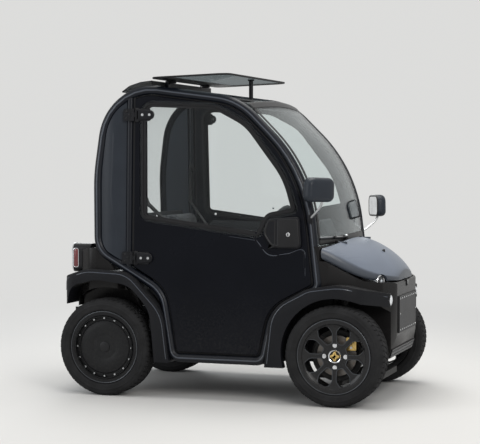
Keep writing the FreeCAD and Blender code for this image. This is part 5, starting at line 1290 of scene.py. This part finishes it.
class CAR_OT_nose(bpy.types.Operator):
    """Lamps, rivets, perforated grille, lid latch and wiper"""

    bl_idname = "car.nose"
    bl_label = "Nose"

    def execute(self, context):
        sizes = context.scene.car_sizes
        k = Finishes
        for name, side in SIDES:
            hub = Vector((0.779, side * 0.2815, 0.600))
            aim = Vector((math.cos(0.42), side * math.sin(0.42), 0.0))
            ring = lathe(((21.5, -4), (23.5, 2.5), (27, 4.5), (31.2, 1), (31.2, -12),
                          (28, -18)), hub, aim, 64)
            from_bm("headlamp_ring_" + name, ring, k.chrome, "chassis")
            bowl = lathe(((0, 7.5), (10, 6.4), (18, 3.6), (22.5, -0.6), (22.5, -5)),
                         hub, aim, 64, closed=False)
            from_bm("headlamp_glass_" + name, bowl, k.display, "chassis")
            beam = lathe(((0, 9.8), (5.5, 9), (8.5, 6.8), (8.8, 4)), hub, aim, 32, closed=False)
            from_bm("headlamp_beam_" + name, beam, k.clear, "chassis")
            hub = Vector((0.832, side * 0.282, 0.508))
            dome = lathe(((0, 7.5), (10, 6.8), (19, 4.4), (25, 0.8), (26.8, -4)),
                         hub, AHEAD, 64, closed=False)
            from_bm("turn_lens_" + name, dome, k.white, "chassis")
            bezel = lathe(((25.5, -2), (28.5, 1.6), (30.5, -1), (30, -12), (26.2, -12)), hub, AHEAD, 64)
            from_bm("turn_bezel_" + name, bezel, k.fine)
        self.plate(sizes, k)
        self.grille(sizes, k)
        self.lid(k)
        self.wiper(k)
        return {"FINISHED"}

    def plate(self, sizes, k):
        """Rivets, folded edge and side joints of the front panel."""
        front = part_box("front_plate")[1][0]
        spots = [(Vector((front, y, z)), AHEAD) for z in (0.507, 0.351)
                 for y in (-0.170 + 0.0425 * n for n in range(9))]
        spots += [(Vector((front, y, 0.432)), AHEAD) for y in (-0.172, 0.172)]
        fasteners("plate_rivets", spots, "rivets", sizes.rivet, 0.0028, k.steel)
        frame = rectangle(-189, 341, 189, 519, 5, steps=3)
        place = facing((front, 0, 0), LEFT, UP, AHEAD)
        fold = moulding(frame, ((-1.8, -3), (-1.2, 0.6), (1.2, 1), (3.5, 0.2), (4, -1)), place)
        from_bm("plate_edge", fold, k.sheet, "chassis")
        for name, side in SIDES:
            bar = rounded_block((0.849, side * 0.1965, 0.430), (0.010, 0.006, 0.184), 0.0015)
            from_bm("plate_joint_" + name, bar, k.seal)

    def grille(self, sizes, k):
        """A thin sheet full of holes in front of the slots."""
        lo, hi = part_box("front_grille")
        low, high = (land("front_grille", (1.2, 0.0, z), BACK)[0] for z in (lo[2] + 0.004, hi[2] - 0.004))
        up = (high - low).normalized()
        out = LEFT.cross(up)
        place = facing(low + out * 0.0004, LEFT, up, out)
        pitch = sizes.mesh_pitch
        tall = (high - low).length
        bm = bmesh.new()
        rows = max(2, int(tall / pitch))
        columns = int(0.49 / pitch)
        radius = pitch * 0.34
        for r in range(rows):
            for c in range(columns):
                a = (c - (columns - 1) / 2) * pitch + (pitch / 4 if r % 2 else -pitch / 4)
                b = tall * (r + 0.5) / rows
                cell = [(pitch / 2 * x, tall / rows / 2 * y) for x, y in
                        ((1, 0), (1, 1), (0, 1), (-1, 1), (-1, 0), (-1, -1), (0, -1), (1, -1))]
                rim = [(radius * math.cos(t), radius * math.sin(t)) for t in around_circle(8)]
                outer = [bm.verts.new(place(a + x, b + y, 0.0)) for x, y in cell]
                inner = [bm.verts.new(place(a + x, b + y, 0.0006)) for x, y in rim]
                deep = [bm.verts.new(place(a + x * 0.96, b + y * 0.96, -0.0010)) for x, y in rim]
                for n in range(8):
                    m = (n + 1) % 8
                    bm.faces.new((outer[n], outer[m], inner[m], inner[n]))
                    bm.faces.new((inner[n], inner[m], deep[m], deep[n]))
        from_bm("grille_mesh", bm, k.mesh, "chassis", smooth=20)

    def lid(self, k):
        """Washer jet and latch of the front lid."""
        point, normal = land("hood", (0.742, 0.0, 1.2), (0, 0, -1))
        jet = lathe(((0, 10.5), (3.5, 10), (5.5, 6.5), (8.5, 3), (10, -1.5)),
                    point + Vector((0, -0.06, 0)) - normal * 0.002, normal, 24, closed=False)
        from_bm("washer_jet", jet, k.fine, "hood")
        point, _ = land("front_shell", (1.2, 0.0, 0.575), BACK)
        place = facing(point, LEFT, UP, AHEAD)
        body = plate(rectangle(-9, -16, 9, 20, 4, steps=4), ((0, -4), (0, 3), (1.5, 4.5), (4, 5)), place)
        from_bm("lid_latch", body, k.fine, "chassis")
        pin = rounded_block(point + Vector((0.0035, 0, 0.004)), (0.007, 0.006, 0.022), 0.002)
        from_bm("lid_latch_pin", pin, k.steel, "chassis")

    def wiper(self, k):
        """Boot, nut, spine and clip of the wiper."""
        foot = Vector((0.547, -0.060, 0.778))
        tip = foot + Vector((-0.011, -0.190, 0.030))
        boot = lathe(((15.5, 0), (15, 6), (11, 12), (9.5, 22), (0, 24)), foot, UP, 32, closed=False)
        from_bm("wiper_boot", boot, k.seal)
        nut = lathe(((0, 40), (5, 39.5), (8.5, 36), (9, 31), (0, 31)), foot, UP, 24, closed=False)
        from_bm("wiper_nut", nut, k.steel, "chassis")
        blade = [tip + Vector((-0.018, -0.190, 0.0105)), tip + Vector((-0.004, -0.03, 0.0055)),
                 tip + Vector((0.010, 0.120, 0.0015))]
        from_bm("wiper_spine", swept(blade, 0.0028, 8, smooth=False), k.steel, "chassis")
        clip = rounded_block(tip + Vector((0.0005, 0.0, 0.004)), (0.016, 0.034, 0.013), 0.004)
        from_bm("wiper_clip", clip, k.fine)


class CAR_OT_tail(bpy.types.Operator):
    """Tail lamps, bumper trim and rear window edge"""

    bl_idname = "car.tail"
    bl_label = "Tail"

    def execute(self, context):
        sizes = context.scene.car_sizes
        k = Finishes
        for name, side in SIDES:
            place = facing((-0.817, side * 0.378, 0.692), (0, -side, 0), UP, BACK)
            case = rectangle(-42, -73, 42, 73, 30)
            rim = moulding(case, ((-1, -5), (-1.2, -1), (1.5, 2.2), (5.5, 3), (7.5, -0.5), (7, -6)), place)
            from_bm("tail_rim_" + name, rim, k.chrome, "chassis")
            lens_line = offset(case, 0.0080)
            dome = plate(lens_line, ((0, -4), (0, 0.5), (3, 2.2), (9, 3)), place)
            from_bm("tail_lens_" + name, dome, k.red, "chassis")
            for label, level, material in (("high", 0.0345, k.red), ("low", -0.0345, k.amber)):
                hub = place(0, level, 0)
                cup = lathe(((0, 13.5), (12, 12.8), (21, 10.5), (26.2, 8.5), (27.8, 3)),
                            hub, BACK, 48, closed=False)
                from_bm(f"tail_dome_{label}_{name}", cup, material, "chassis")
                ring = lathe(((26.2, 6), (28.2, 9.2), (30.2, 7), (30, 1)), hub, BACK, 48)
                from_bm(f"tail_ring_{label}_{name}", ring, k.chrome, "chassis")
            flank = facing((-0.797, side * 0.420, 0.692), AHEAD, UP, (0, side, 0))
            slot = rectangle(-15, -50, 17, 50, 12)
            frame_line = moulding(slot, ((0, -4), (0.6, 2), (3, 2.4), (4.4, 0.6), (4.4, -4)), flank)
            from_bm("tail_flank_frame_" + name, frame_line, k.chrome, "chassis")
            glow = plate(offset(slot, 0.0046), ((0, -3), (0, 0.6), (3, 1.8)), flank)
            from_bm("tail_flank_" + name, glow, k.red, "chassis")
            reflector = rectangle(-26, -8, 26, 8, 4, steps=4)
            spot, normal = land("rear_bumper", (-1.2, side * 0.20, 0.372), AHEAD)
            pad = facing(spot, UP.cross(normal), UP, normal)
            from_bm("reflector_" + name, plate(reflector, ((0, -3), (0, 2), (2, 3.4)), pad), k.red,
                    "chassis")
        lo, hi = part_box("rear_bumper")
        for z in (lo[2] + 0.018, hi[2] - 0.018):
            line = []
            for n in range(31):
                y = -0.27 + 0.54 * n / 30
                line.append(land("rear_bumper", (-1.2, y, z), AHEAD)[0] + BACK * 0.0006)
            from_bm(f"bumper_groove_{round(z * 1000)}", swept(line, 0.0022, 8, smooth=False), k.seal)
        spots = [(Vector((lo[0] - 0.0005, y, 0.39)), BACK) for y in (-0.06, 0.06)]
        fasteners("plate_screw_rings", spots, "rivets", sizes.screw * 1.25, 0.0012, k.fine, "chassis")
        hood = rounded_block((lo[0] + 0.012, 0.0, hi[2] + 0.006), (0.030, 0.110, 0.020), 0.005)
        from_bm("plate_lamp", hood, k.fine)
        self.window(k)
        return {"FINISHED"}

    def window(self, k):
        """A dark welt along both sides of the flexible rear window and a belt at its foot."""
        lo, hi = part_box("rear_window")
        for name, side in SIDES:
            line = []
            for n in range(34):
                z = lo[2] + 0.012 + (hi[2] - lo[2] - 0.075) * n / 33
                y = self.reach(side, z) - side * 0.006
                line.append(land("rear_window", (-1.2, y, z), AHEAD)[0])
            from_bm("rear_window_welt_" + name, swept(line, 0.0042, 8, smooth=False), k.seal)
        z = lo[2] + 0.020
        half = abs(self.reach(1, z)) - 0.004
        rows = []
        for level, rise in ((-0.011, 0.0004), (-0.004, 0.0022), (0.004, 0.0022), (0.011, 0.0004)):
            hits = [land("rear_window", (-1.2, half * (2 * n / 32 - 1), z + level), AHEAD) for n in range(33)]
            rows.append([point + normal * rise for point, normal in hits])
        from_bm("rear_window_belt_low", skin(rows), k.fine)

    def reach(self, side, z):
        """How far the rear window reaches sideways at a height."""
        return side * reach_of("rear_window", 0.25, 0.52, lambda y: Vector((-1.2, side * y, z)), AHEAD)


class CAR_OT_mirrors(bpy.types.Operator):
    """Mirror glass, steel arms and their clamps"""

    bl_idname = "car.mirrors"
    bl_label = "Mirrors"

    def execute(self, context):
        k = Finishes
        for name, side, drop in (("right", -1, 0.0), ("left", 1, 0.107)):
            height = 0.905 - drop
            tube_x = 0.447 + (height - 1.139) / (0.572 - 1.139) * (0.516 - 0.447)
            clamp = on_side(side, tube_x, -0.002, height)
            elbow = clamp + Vector((0.080, side * 0.054, 0.095))
            centre = Vector((clamp.x + 0.072, side * 0.562, 1.052 - drop))
            turn = Matrix.Rotation(side * math.radians(30), 3, "Z")
            place = facing(centre, turn @ LEFT, UP, turn @ AHEAD)
            shape = rounded(((-89, -56, 30), (86, -60, 32), (89, 56, 34), (-80, 62, 40)), steps=8)
            levels = ((4, -27), (0, -22), (0, 0), (2, 10), (7, 18), (14, 22.5))
            case = plate(shape, levels, place, dome=((0.85, 24.8), (0.6, 26.8), (0.25, 27.5)))
            case.faces.new(case.verts[:][:len(shape)][::-1])
            housing = from_bm("mirror_case_" + name, case, k.slate, smooth=50)
            if name == "right":
                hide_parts("door_mirrors")
            back = facing(centre, turn @ LEFT, UP, turn @ BACK)
            pane = plate(offset(shape, 0.010), ((0, 27), (0, 28.2)), back)
            from_bm("mirror_glass_" + name, pane, k.mirror, "chassis")
            trim = moulding(shape, ((1, 20), (1.5, 28.5), (6, 30), (10.5, 28.5), (10.5, 24)), back)
            from_bm("mirror_trim_" + name, trim, k.fine)
            arm = [clamp + Vector((0, 0, 0.006)), clamp + Vector((0.034, side * 0.026, 0.030)),
                   elbow + Vector((0, 0, -0.012)), elbow * 0.5 + centre * 0.5,
                   centre + Vector((-0.004, 0, -0.02))]
            from_bm("mirror_arm_" + name, swept(arm, 0.0062, 16), k.steel, "chassis")
            collar = lathe(((0, -19), (12, -18), (14.5, -10), (14.5, 18), (12, 24),
                            (0, 25)), clamp, UP, 32, closed=False)
            from_bm("mirror_clamp_" + name, collar, k.black)
            spot = elbow * 0.45 + centre * 0.55
            joint = rounded_block(spot + Vector((0, 0, -0.012)), (0.026, 0.032, 0.044), 0.008)
            from_bm("mirror_joint_" + name, joint, k.fine)
            spots = [(spot + Vector((x, side * 0.0165, -0.012 + z)), Vector((0, side, 0)))
                     for x, z in ((-0.005, 0.012), (0.005, -0.010))]
            fasteners("mirror_screws_" + name, spots, "socket_screws", 0.0048, 0.0026, k.chrome)
        return {"FINISHED"}


CLOTH_FRAMES = 20
SEAM = 0.34  # place of the two seams, as a share of the pad's width from its middle
POD = Vector((0.362, 0.205, 0.828))
GRIP = 0.165


class CAR_OT_cabin(bpy.types.Operator):
    """Padded seats, belts, steering wheel and dash"""

    bl_idname = "car.cabin"
    bl_label = "Cabin"

    def execute(self, context):
        k = Finishes
        self.seats(k)
        self.wheel(k)
        self.dash(k)
        self.belts(k)
        return {"FINISHED"}

    def cushion(self, name, size, place, k):
        """A pad blown up by a cloth simulation from a slightly smaller rounded block."""
        limit = 0.020
        start = [s - 0.016 for s in size]
        pad = link(name, plain_mesh(rounded_block((0, 0, 0), start, 0.026, segments=4)))
        remesh = pad.modifiers.new("remesh", "REMESH")
        remesh.mode = "VOXEL"
        remesh.voxel_size = 0.0095
        rest = [v.co.copy() for v in baked(pad).vertices]
        cloth = pad.modifiers.new("cloth", "CLOTH")
        cloth.settings.use_pressure = True
        cloth.settings.uniform_pressure_force = 4.0
        cloth.settings.effector_weights.gravity = 0.0
        cloth.settings.quality = 6
        cloth.settings.tension_stiffness = 12.0
        cloth.point_cache.frame_start = 1
        cloth.point_cache.frame_end = CLOTH_FRAMES
        scene = bpy.context.scene
        for number in range(1, CLOTH_FRAMES + 1):
            scene.frame_set(number)
        blown = baked(pad)
        scene.frame_set(1)
        half = [s / 2 for s in size]
        for vertex, before in zip(blown.vertices, rest):
            move = vertex.co - before
            if move.length > limit:
                move = move.normalized() * limit
            spot = before + move
            if before.z > 0:
                spot -= UP * self.tufts(before, size)
            vertex.co = place @ Vector([max(-h, min(h, c)) for c, h in zip(spot, half)])
        smooth = pad.modifiers.new("smooth", "SUBSURF")
        smooth.levels = 1
        smooth.render_levels = 1
        baked(pad)
        settle(pad, k.cloth, "chassis", smooth=60)
        seams = []
        for edge in (SEAM, -SEAM):
            y = size[1] * edge
            line = [Vector((size[0] * (t / 22 - 0.5) * 0.86, y, half[2] - 0.011)) for t in range(23)]
            seams.append(swept([place @ p for p in line], 0.0022, 8, smooth=False))
        from_bm(name + "_seams", grown(*seams), k.dark_cloth)
        return pad

    def tufts(self, at, size):
        """Depth of the pressed channels across and along the pad."""
        along = sum(math.exp(-((at.y - size[1] * e) / 0.010) ** 2) for e in (SEAM, -SEAM))
        across = sum(math.exp(-((at.x - size[0] * e) / 0.012) ** 2) for e in (-0.18, 0.16))
        inside = 1.0 if abs(at.y) < size[1] * SEAM else 0.0
        return 0.009 * along + 0.006 * across * inside

    def seats(self, k):
        """Cushions and backs on shells; the right pair stands for the CAD's seats."""
        cushions, backs = [], []
        lean = Matrix.Rotation(-math.radians(11), 4, "Y")
        foot = Matrix.Translation((-0.338, 0, 0.462))
        for name, side in SIDES:
            y = side * 0.194
            place = Matrix.Translation((-0.134, y, 0.500))
            cushions.append(self.cushion("seat_pad_" + name, (0.400, 0.372, 0.096), place, k))
            face = Matrix.Rotation(math.radians(90), 4, "Y")
            place = foot @ lean @ Matrix.Translation((-0.044, y, 0.240)) @ face
            backs.append(self.cushion("seat_back_pad_" + name, (0.480, 0.372, 0.088), place, k))
            shell = rounded_block((-0.092, y, 0.245), (0.012, 0.350, 0.470), 0.005)
            bmesh.ops.transform(shell, matrix=foot @ lean, verts=shell.verts)
            from_bm("seat_shell_" + name, shell, k.cabin)
        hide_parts("seat_cushions")
        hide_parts("seat_backs")

    def wheel(self, k):
        """Boss, spokes and grip of the steering wheel, and the stalks behind it."""
        tilt = math.radians(32)
        to_driver = Vector((-math.cos(tilt), 0, math.sin(tilt)))
        hub = Vector((0.062, 0.205, 0.800))
        up = LEFT.cross(to_driver) * -1
        place = facing(hub, LEFT, up, to_driver)
        boss = rounded(((-46, -38, 18), (46, -38, 18), (52, 24, 22), (-52, 24, 22)), steps=6)
        pad = plate(boss, ((4, -6), (0, 2), (0, 18), (4, 25), (14, 29)), place)
        from_bm("wheel_boss", pad, k.cabin, "steering_wheel")
        for n, angle in enumerate((30, 150, 270)):
            a = math.radians(angle)
            along = Vector((math.cos(a), math.sin(a)))
            side = Vector((-math.sin(a), math.cos(a)))
            ends = ((30, -17), (156, -12), (156, 12), (30, 17))
            corners = [along * r + side * s for r, s in ends]
            outline = rounded([(c.x, c.y, 4) for c in corners], steps=3)
            spoke = plate(outline, ((2, -7.5), (0, -4), (0, 5), (3, 8.5)), place)
            from_bm(f"wheel_spoke_{n}", spoke, k.fine, "steering_wheel")
        grips = [hub + LEFT * GRIP * math.cos(a) + up * GRIP * math.sin(a) for a in around_circle(72)]
        from_bm("wheel_grip", swept(grips, 0.0142, 16, cyclic=True, smooth=False), k.cabin, "steering_wheel",
                smooth=60)
        for n, side in enumerate((-1, 1)):
            start = hub - to_driver * 0.060 + Vector((0, side * 0.030, 0))
            stalk = [start, start + Vector((0.0, side * 0.050, 0.004)) + to_driver * 0.004,
                     start + Vector((0.0, side * 0.115, 0.012)) + to_driver * 0.016]
            from_bm(f"stalk_{n}", swept(stalk, 0.0055, 10, taper=(1.0, 0.9, 1.4)), k.fine)

    def dash(self, k):
        """Instrument pod, air vents and the edge of the shelf."""
        angle = math.radians(22)
        tilt = Matrix.Rotation(-angle, 4, "Y")
        pod = rounded_block((0, 0, 0), (0.060, 0.190, 0.100), 0.016, segments=4)
        bmesh.ops.transform(pod, matrix=Matrix.Translation(POD) @ tilt, verts=pod.verts)
        from_bm("instrument_pod", pod, k.cabin)
        back = Vector((-math.cos(angle), 0, math.sin(angle)))
        up = LEFT.cross(back) * -1
        place = facing(POD + back * 0.0300, LEFT, up, back)
        face = rectangle(-82, -38, 82, 38, 9)
        face = plate(face, ((0, -3), (0, 1.2), (2, 1.8)), place)
        from_bm("instrument_glass", face, k.display, "chassis")
        for n, y in enumerate((-0.30, -0.17)):
            spot, normal = land("dashboard", (-0.2, y, 0.745), AHEAD)
            ring = lathe(((26, -4), (27, 4), (32, 5), (34, -4)), spot, normal, 40)
            from_bm(f"vent_ring_{n}", ring, k.fine)
            slats = bmesh.new()
            for row in range(-2, 3):
                size = (0.004, 0.050 - abs(row) * 0.007, 0.0032)
                grown(slats, rounded_block(spot + Vector((0.001, 0, row * 0.0095)), size, 0.001, segments=1))
            from_bm(f"vent_slats_{n}", slats, k.cabin)
        rim = rounded_block((0.0, 0.0, 0.0), (0.012, 0.24, 0.014), 0.005)
        bmesh.ops.translate(rim, vec=land("dashboard", (-0.2, -0.20, 0.69), AHEAD)[0], verts=rim.verts)
        from_bm("dash_shelf_lip", rim, k.black)

    def belts(self, k):
        """Straps from the side frames over the seats to their buckles."""
        steps = 36
        for name, side in SIDES:
            top = on_side(side, -0.470, 0.060, 1.150)
            shoulder = Vector((-0.440, side * 0.300, 0.965))
            chest = Vector((-0.250, side * 0.215, 0.760))
            lap = Vector((-0.160, side * 0.030, 0.575))
            line = [top, shoulder, chest, lap]
            rows = []
            for n in range(steps + 1):
                t = n / steps * (len(line) - 1)
                i = min(int(t), len(line) - 2)
                f = t - i
                p = line[i].lerp(line[i + 1], f * f * (3 - 2 * f))
                run = (line[i + 1] - line[i]).normalized()
                wide = run.cross(Vector((1, 0, 0.4))).normalized() * 0.023
                rows.append((p - wide, p + wide))
            strap = from_bm("belt_" + name, skin(rows), k.fine)
            depth = strap.modifiers.new("depth", "SOLIDIFY")
            depth.thickness = 0.0018
            buckle = rounded_block(Vector((-0.165, side * 0.012, 0.560)), (0.030, 0.014, 0.052), 0.004)
            from_bm("buckle_" + name, buckle, k.fine)
            loop = rounded_block(top, (0.034, 0.012, 0.040), 0.004)
            from_bm("belt_guide_" + name, loop, k.fine)


class CAR_OT_under(bpy.types.Operator):
    """Springs, arch liners, flaps, floor ribs and bolts seen from low down"""

    bl_idname = "car.under"
    bl_label = "Under side"

    def execute(self, context):
        k = Finishes
        for name, side in SIDES:
            low = Vector((AXLE_X, side * 0.344, 0.350))
            top = Vector((AXLE_X, side * 0.314, 0.505))
            axis = (top - low).normalized()
            one = axis.orthogonal().normalized()
            coil = self.coil(low, top, one, axis.cross(one), 6, 0.0300)
            from_bm("front_spring_" + name, swept(coil, 0.0045, 8, smooth=False), k.under, "knuckle_" + name)
            hub = Vector((-0.5425, side * 0.308, 0.262))
            coil = self.coil(hub + UP * 0.004, hub + UP * 0.034, AHEAD, LEFT, 3, 0.026)
            from_bm("rear_spring_" + name, swept(coil, 0.0040, 8, smooth=False), k.under, "chassis")
            arch = rounded(((-808, 462, 0), (-794, 548, 80), (-640, 590, 160), (-462, 568, 150),
                            (-348, 440, 160), (-322, 240, 0)), cyclic=False)
            liner = moulding(arch, ((0, 362), (0, 500), (3, 500), (3, 362)),
                             lambda a, b, y, side=side: Vector((a, side * y, b)), cyclic=False)
            from_bm("arch_liner_" + name, liner, k.under)
            flap = rounded_block((-0.806, side * 0.300, 0.500), (0.004, 0.130, 0.120), 0.0015)
            from_bm("arch_flap_" + name, flap, k.under)
            spots = [(Vector((x, side * y, 0.1855)), -UP) for x, y in
                     ((-0.28, 0.25), (-0.10, 0.32), (0.10, 0.32), (0.23, 0.32), (-0.10, 0.10), (0.10, 0.10))]
            fasteners("floor_bolts_" + name, spots, "bolts", 0.008, 0.004, k.steel)
        for n, x in enumerate((-0.18, 0.0, 0.18)):
            rib = rounded_block((x, 0.0, 0.1850), (0.030, 0.62, 0.006), 0.0025)
            from_bm(f"floor_rib_{n}", rib, k.under, "chassis")
        return {"FINISHED"}

    def coil(self, foot, top, one, two, turns, radius):
        """Points along a spring, sixteen to a turn."""
        steps = turns * 16
        angles = [2 * math.pi * n / 16 for n in range(steps + 1)]
        return [foot.lerp(top, n / steps) + (one * math.cos(a) + two * math.sin(a)) * radius
                for n, a in enumerate(angles)]


class CAR_OT_softened(bpy.types.Operator):
    """Rounded edges on the fenders, shells, bumper and lid"""

    bl_idname = "car.softened"
    bl_label = "Rounded edges"

    def execute(self, context):
        k = Finishes
        table = (
            ("front_fenders", 0.0070, k.black, "chassis", "black_plastic"),
            ("rear_fenders", 0.0070, k.black, "chassis", "black_plastic"),
            ("rear_bumper", 0.0050, k.black, "chassis", "black_plastic"),
            ("front_shell", 0.0045, k.shell, "chassis", "shell_paint"),
            ("rear_shell", 0.0045, k.shell, "chassis", "shell_paint"),
            ("hood", 0.0035, k.lid, "hood", "hood_skin"),
        )
        for node, width, material, body, slot in table:
            bm = node_copy(node, 2e-5)
            bmesh.ops.dissolve_limit(bm, angle_limit=math.radians(1.0), verts=bm.verts, edges=bm.edges)
            mesh = bpy.data.meshes.new(node + "_soft")
            bm.to_mesh(mesh)
            bm.free()
            obj = link(node + "_soft", mesh)
            bevel = obj.modifiers.new("edges", "BEVEL")
            bevel.width = width
            bevel.segments = 3
            bevel.limit_method = "ANGLE"
            bevel.angle_limit = math.radians(38)
            bevel.use_clamp_overlap = True
            baked(obj)
            settle(obj, material, body, smooth=38)
            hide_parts(node)
        return {"FINISHED"}


STEPS = (CAR_OT_stage, CAR_OT_paint, CAR_OT_tyres, CAR_OT_wheels, CAR_OT_doors, CAR_OT_frames, CAR_OT_nose,
         CAR_OT_tail, CAR_OT_mirrors, CAR_OT_cabin, CAR_OT_under, CAR_OT_softened)


class CAR_PT_panel(bpy.types.Panel):
    """The steps that dress the car, in order"""

    bl_idname = "CAR_PT_panel"
    bl_label = "Microcar"
    bl_space_type = "VIEW_3D"
    bl_region_type = "UI"
    bl_category = "Microcar"

    def draw(self, context):
        for group in (context.scene.car_sizes, context.scene.car_colours):
            box = self.layout.box()
            for name in group.__annotations__:
                box.prop(group, name)
        for step in STEPS:
            self.layout.operator(step.bl_idname)


CLASSES = (CarSizes, CarColours, *STEPS, CAR_PT_panel)


def register():
    for item in CLASSES:
        bpy.utils.register_class(item)
    bpy.types.Scene.car_sizes = PointerProperty(type=CarSizes)
    bpy.types.Scene.car_colours = PointerProperty(type=CarColours)


def unregister():
    del bpy.types.Scene.car_colours
    del bpy.types.Scene.car_sizes
    for item in reversed(CLASSES):
        bpy.utils.unregister_class(item)


def main():
    register()
    for step in STEPS:
        group, name = step.bl_idname.split(".")
        getattr(getattr(bpy.ops, group), name)()


if __name__ == "__main__":
    main()
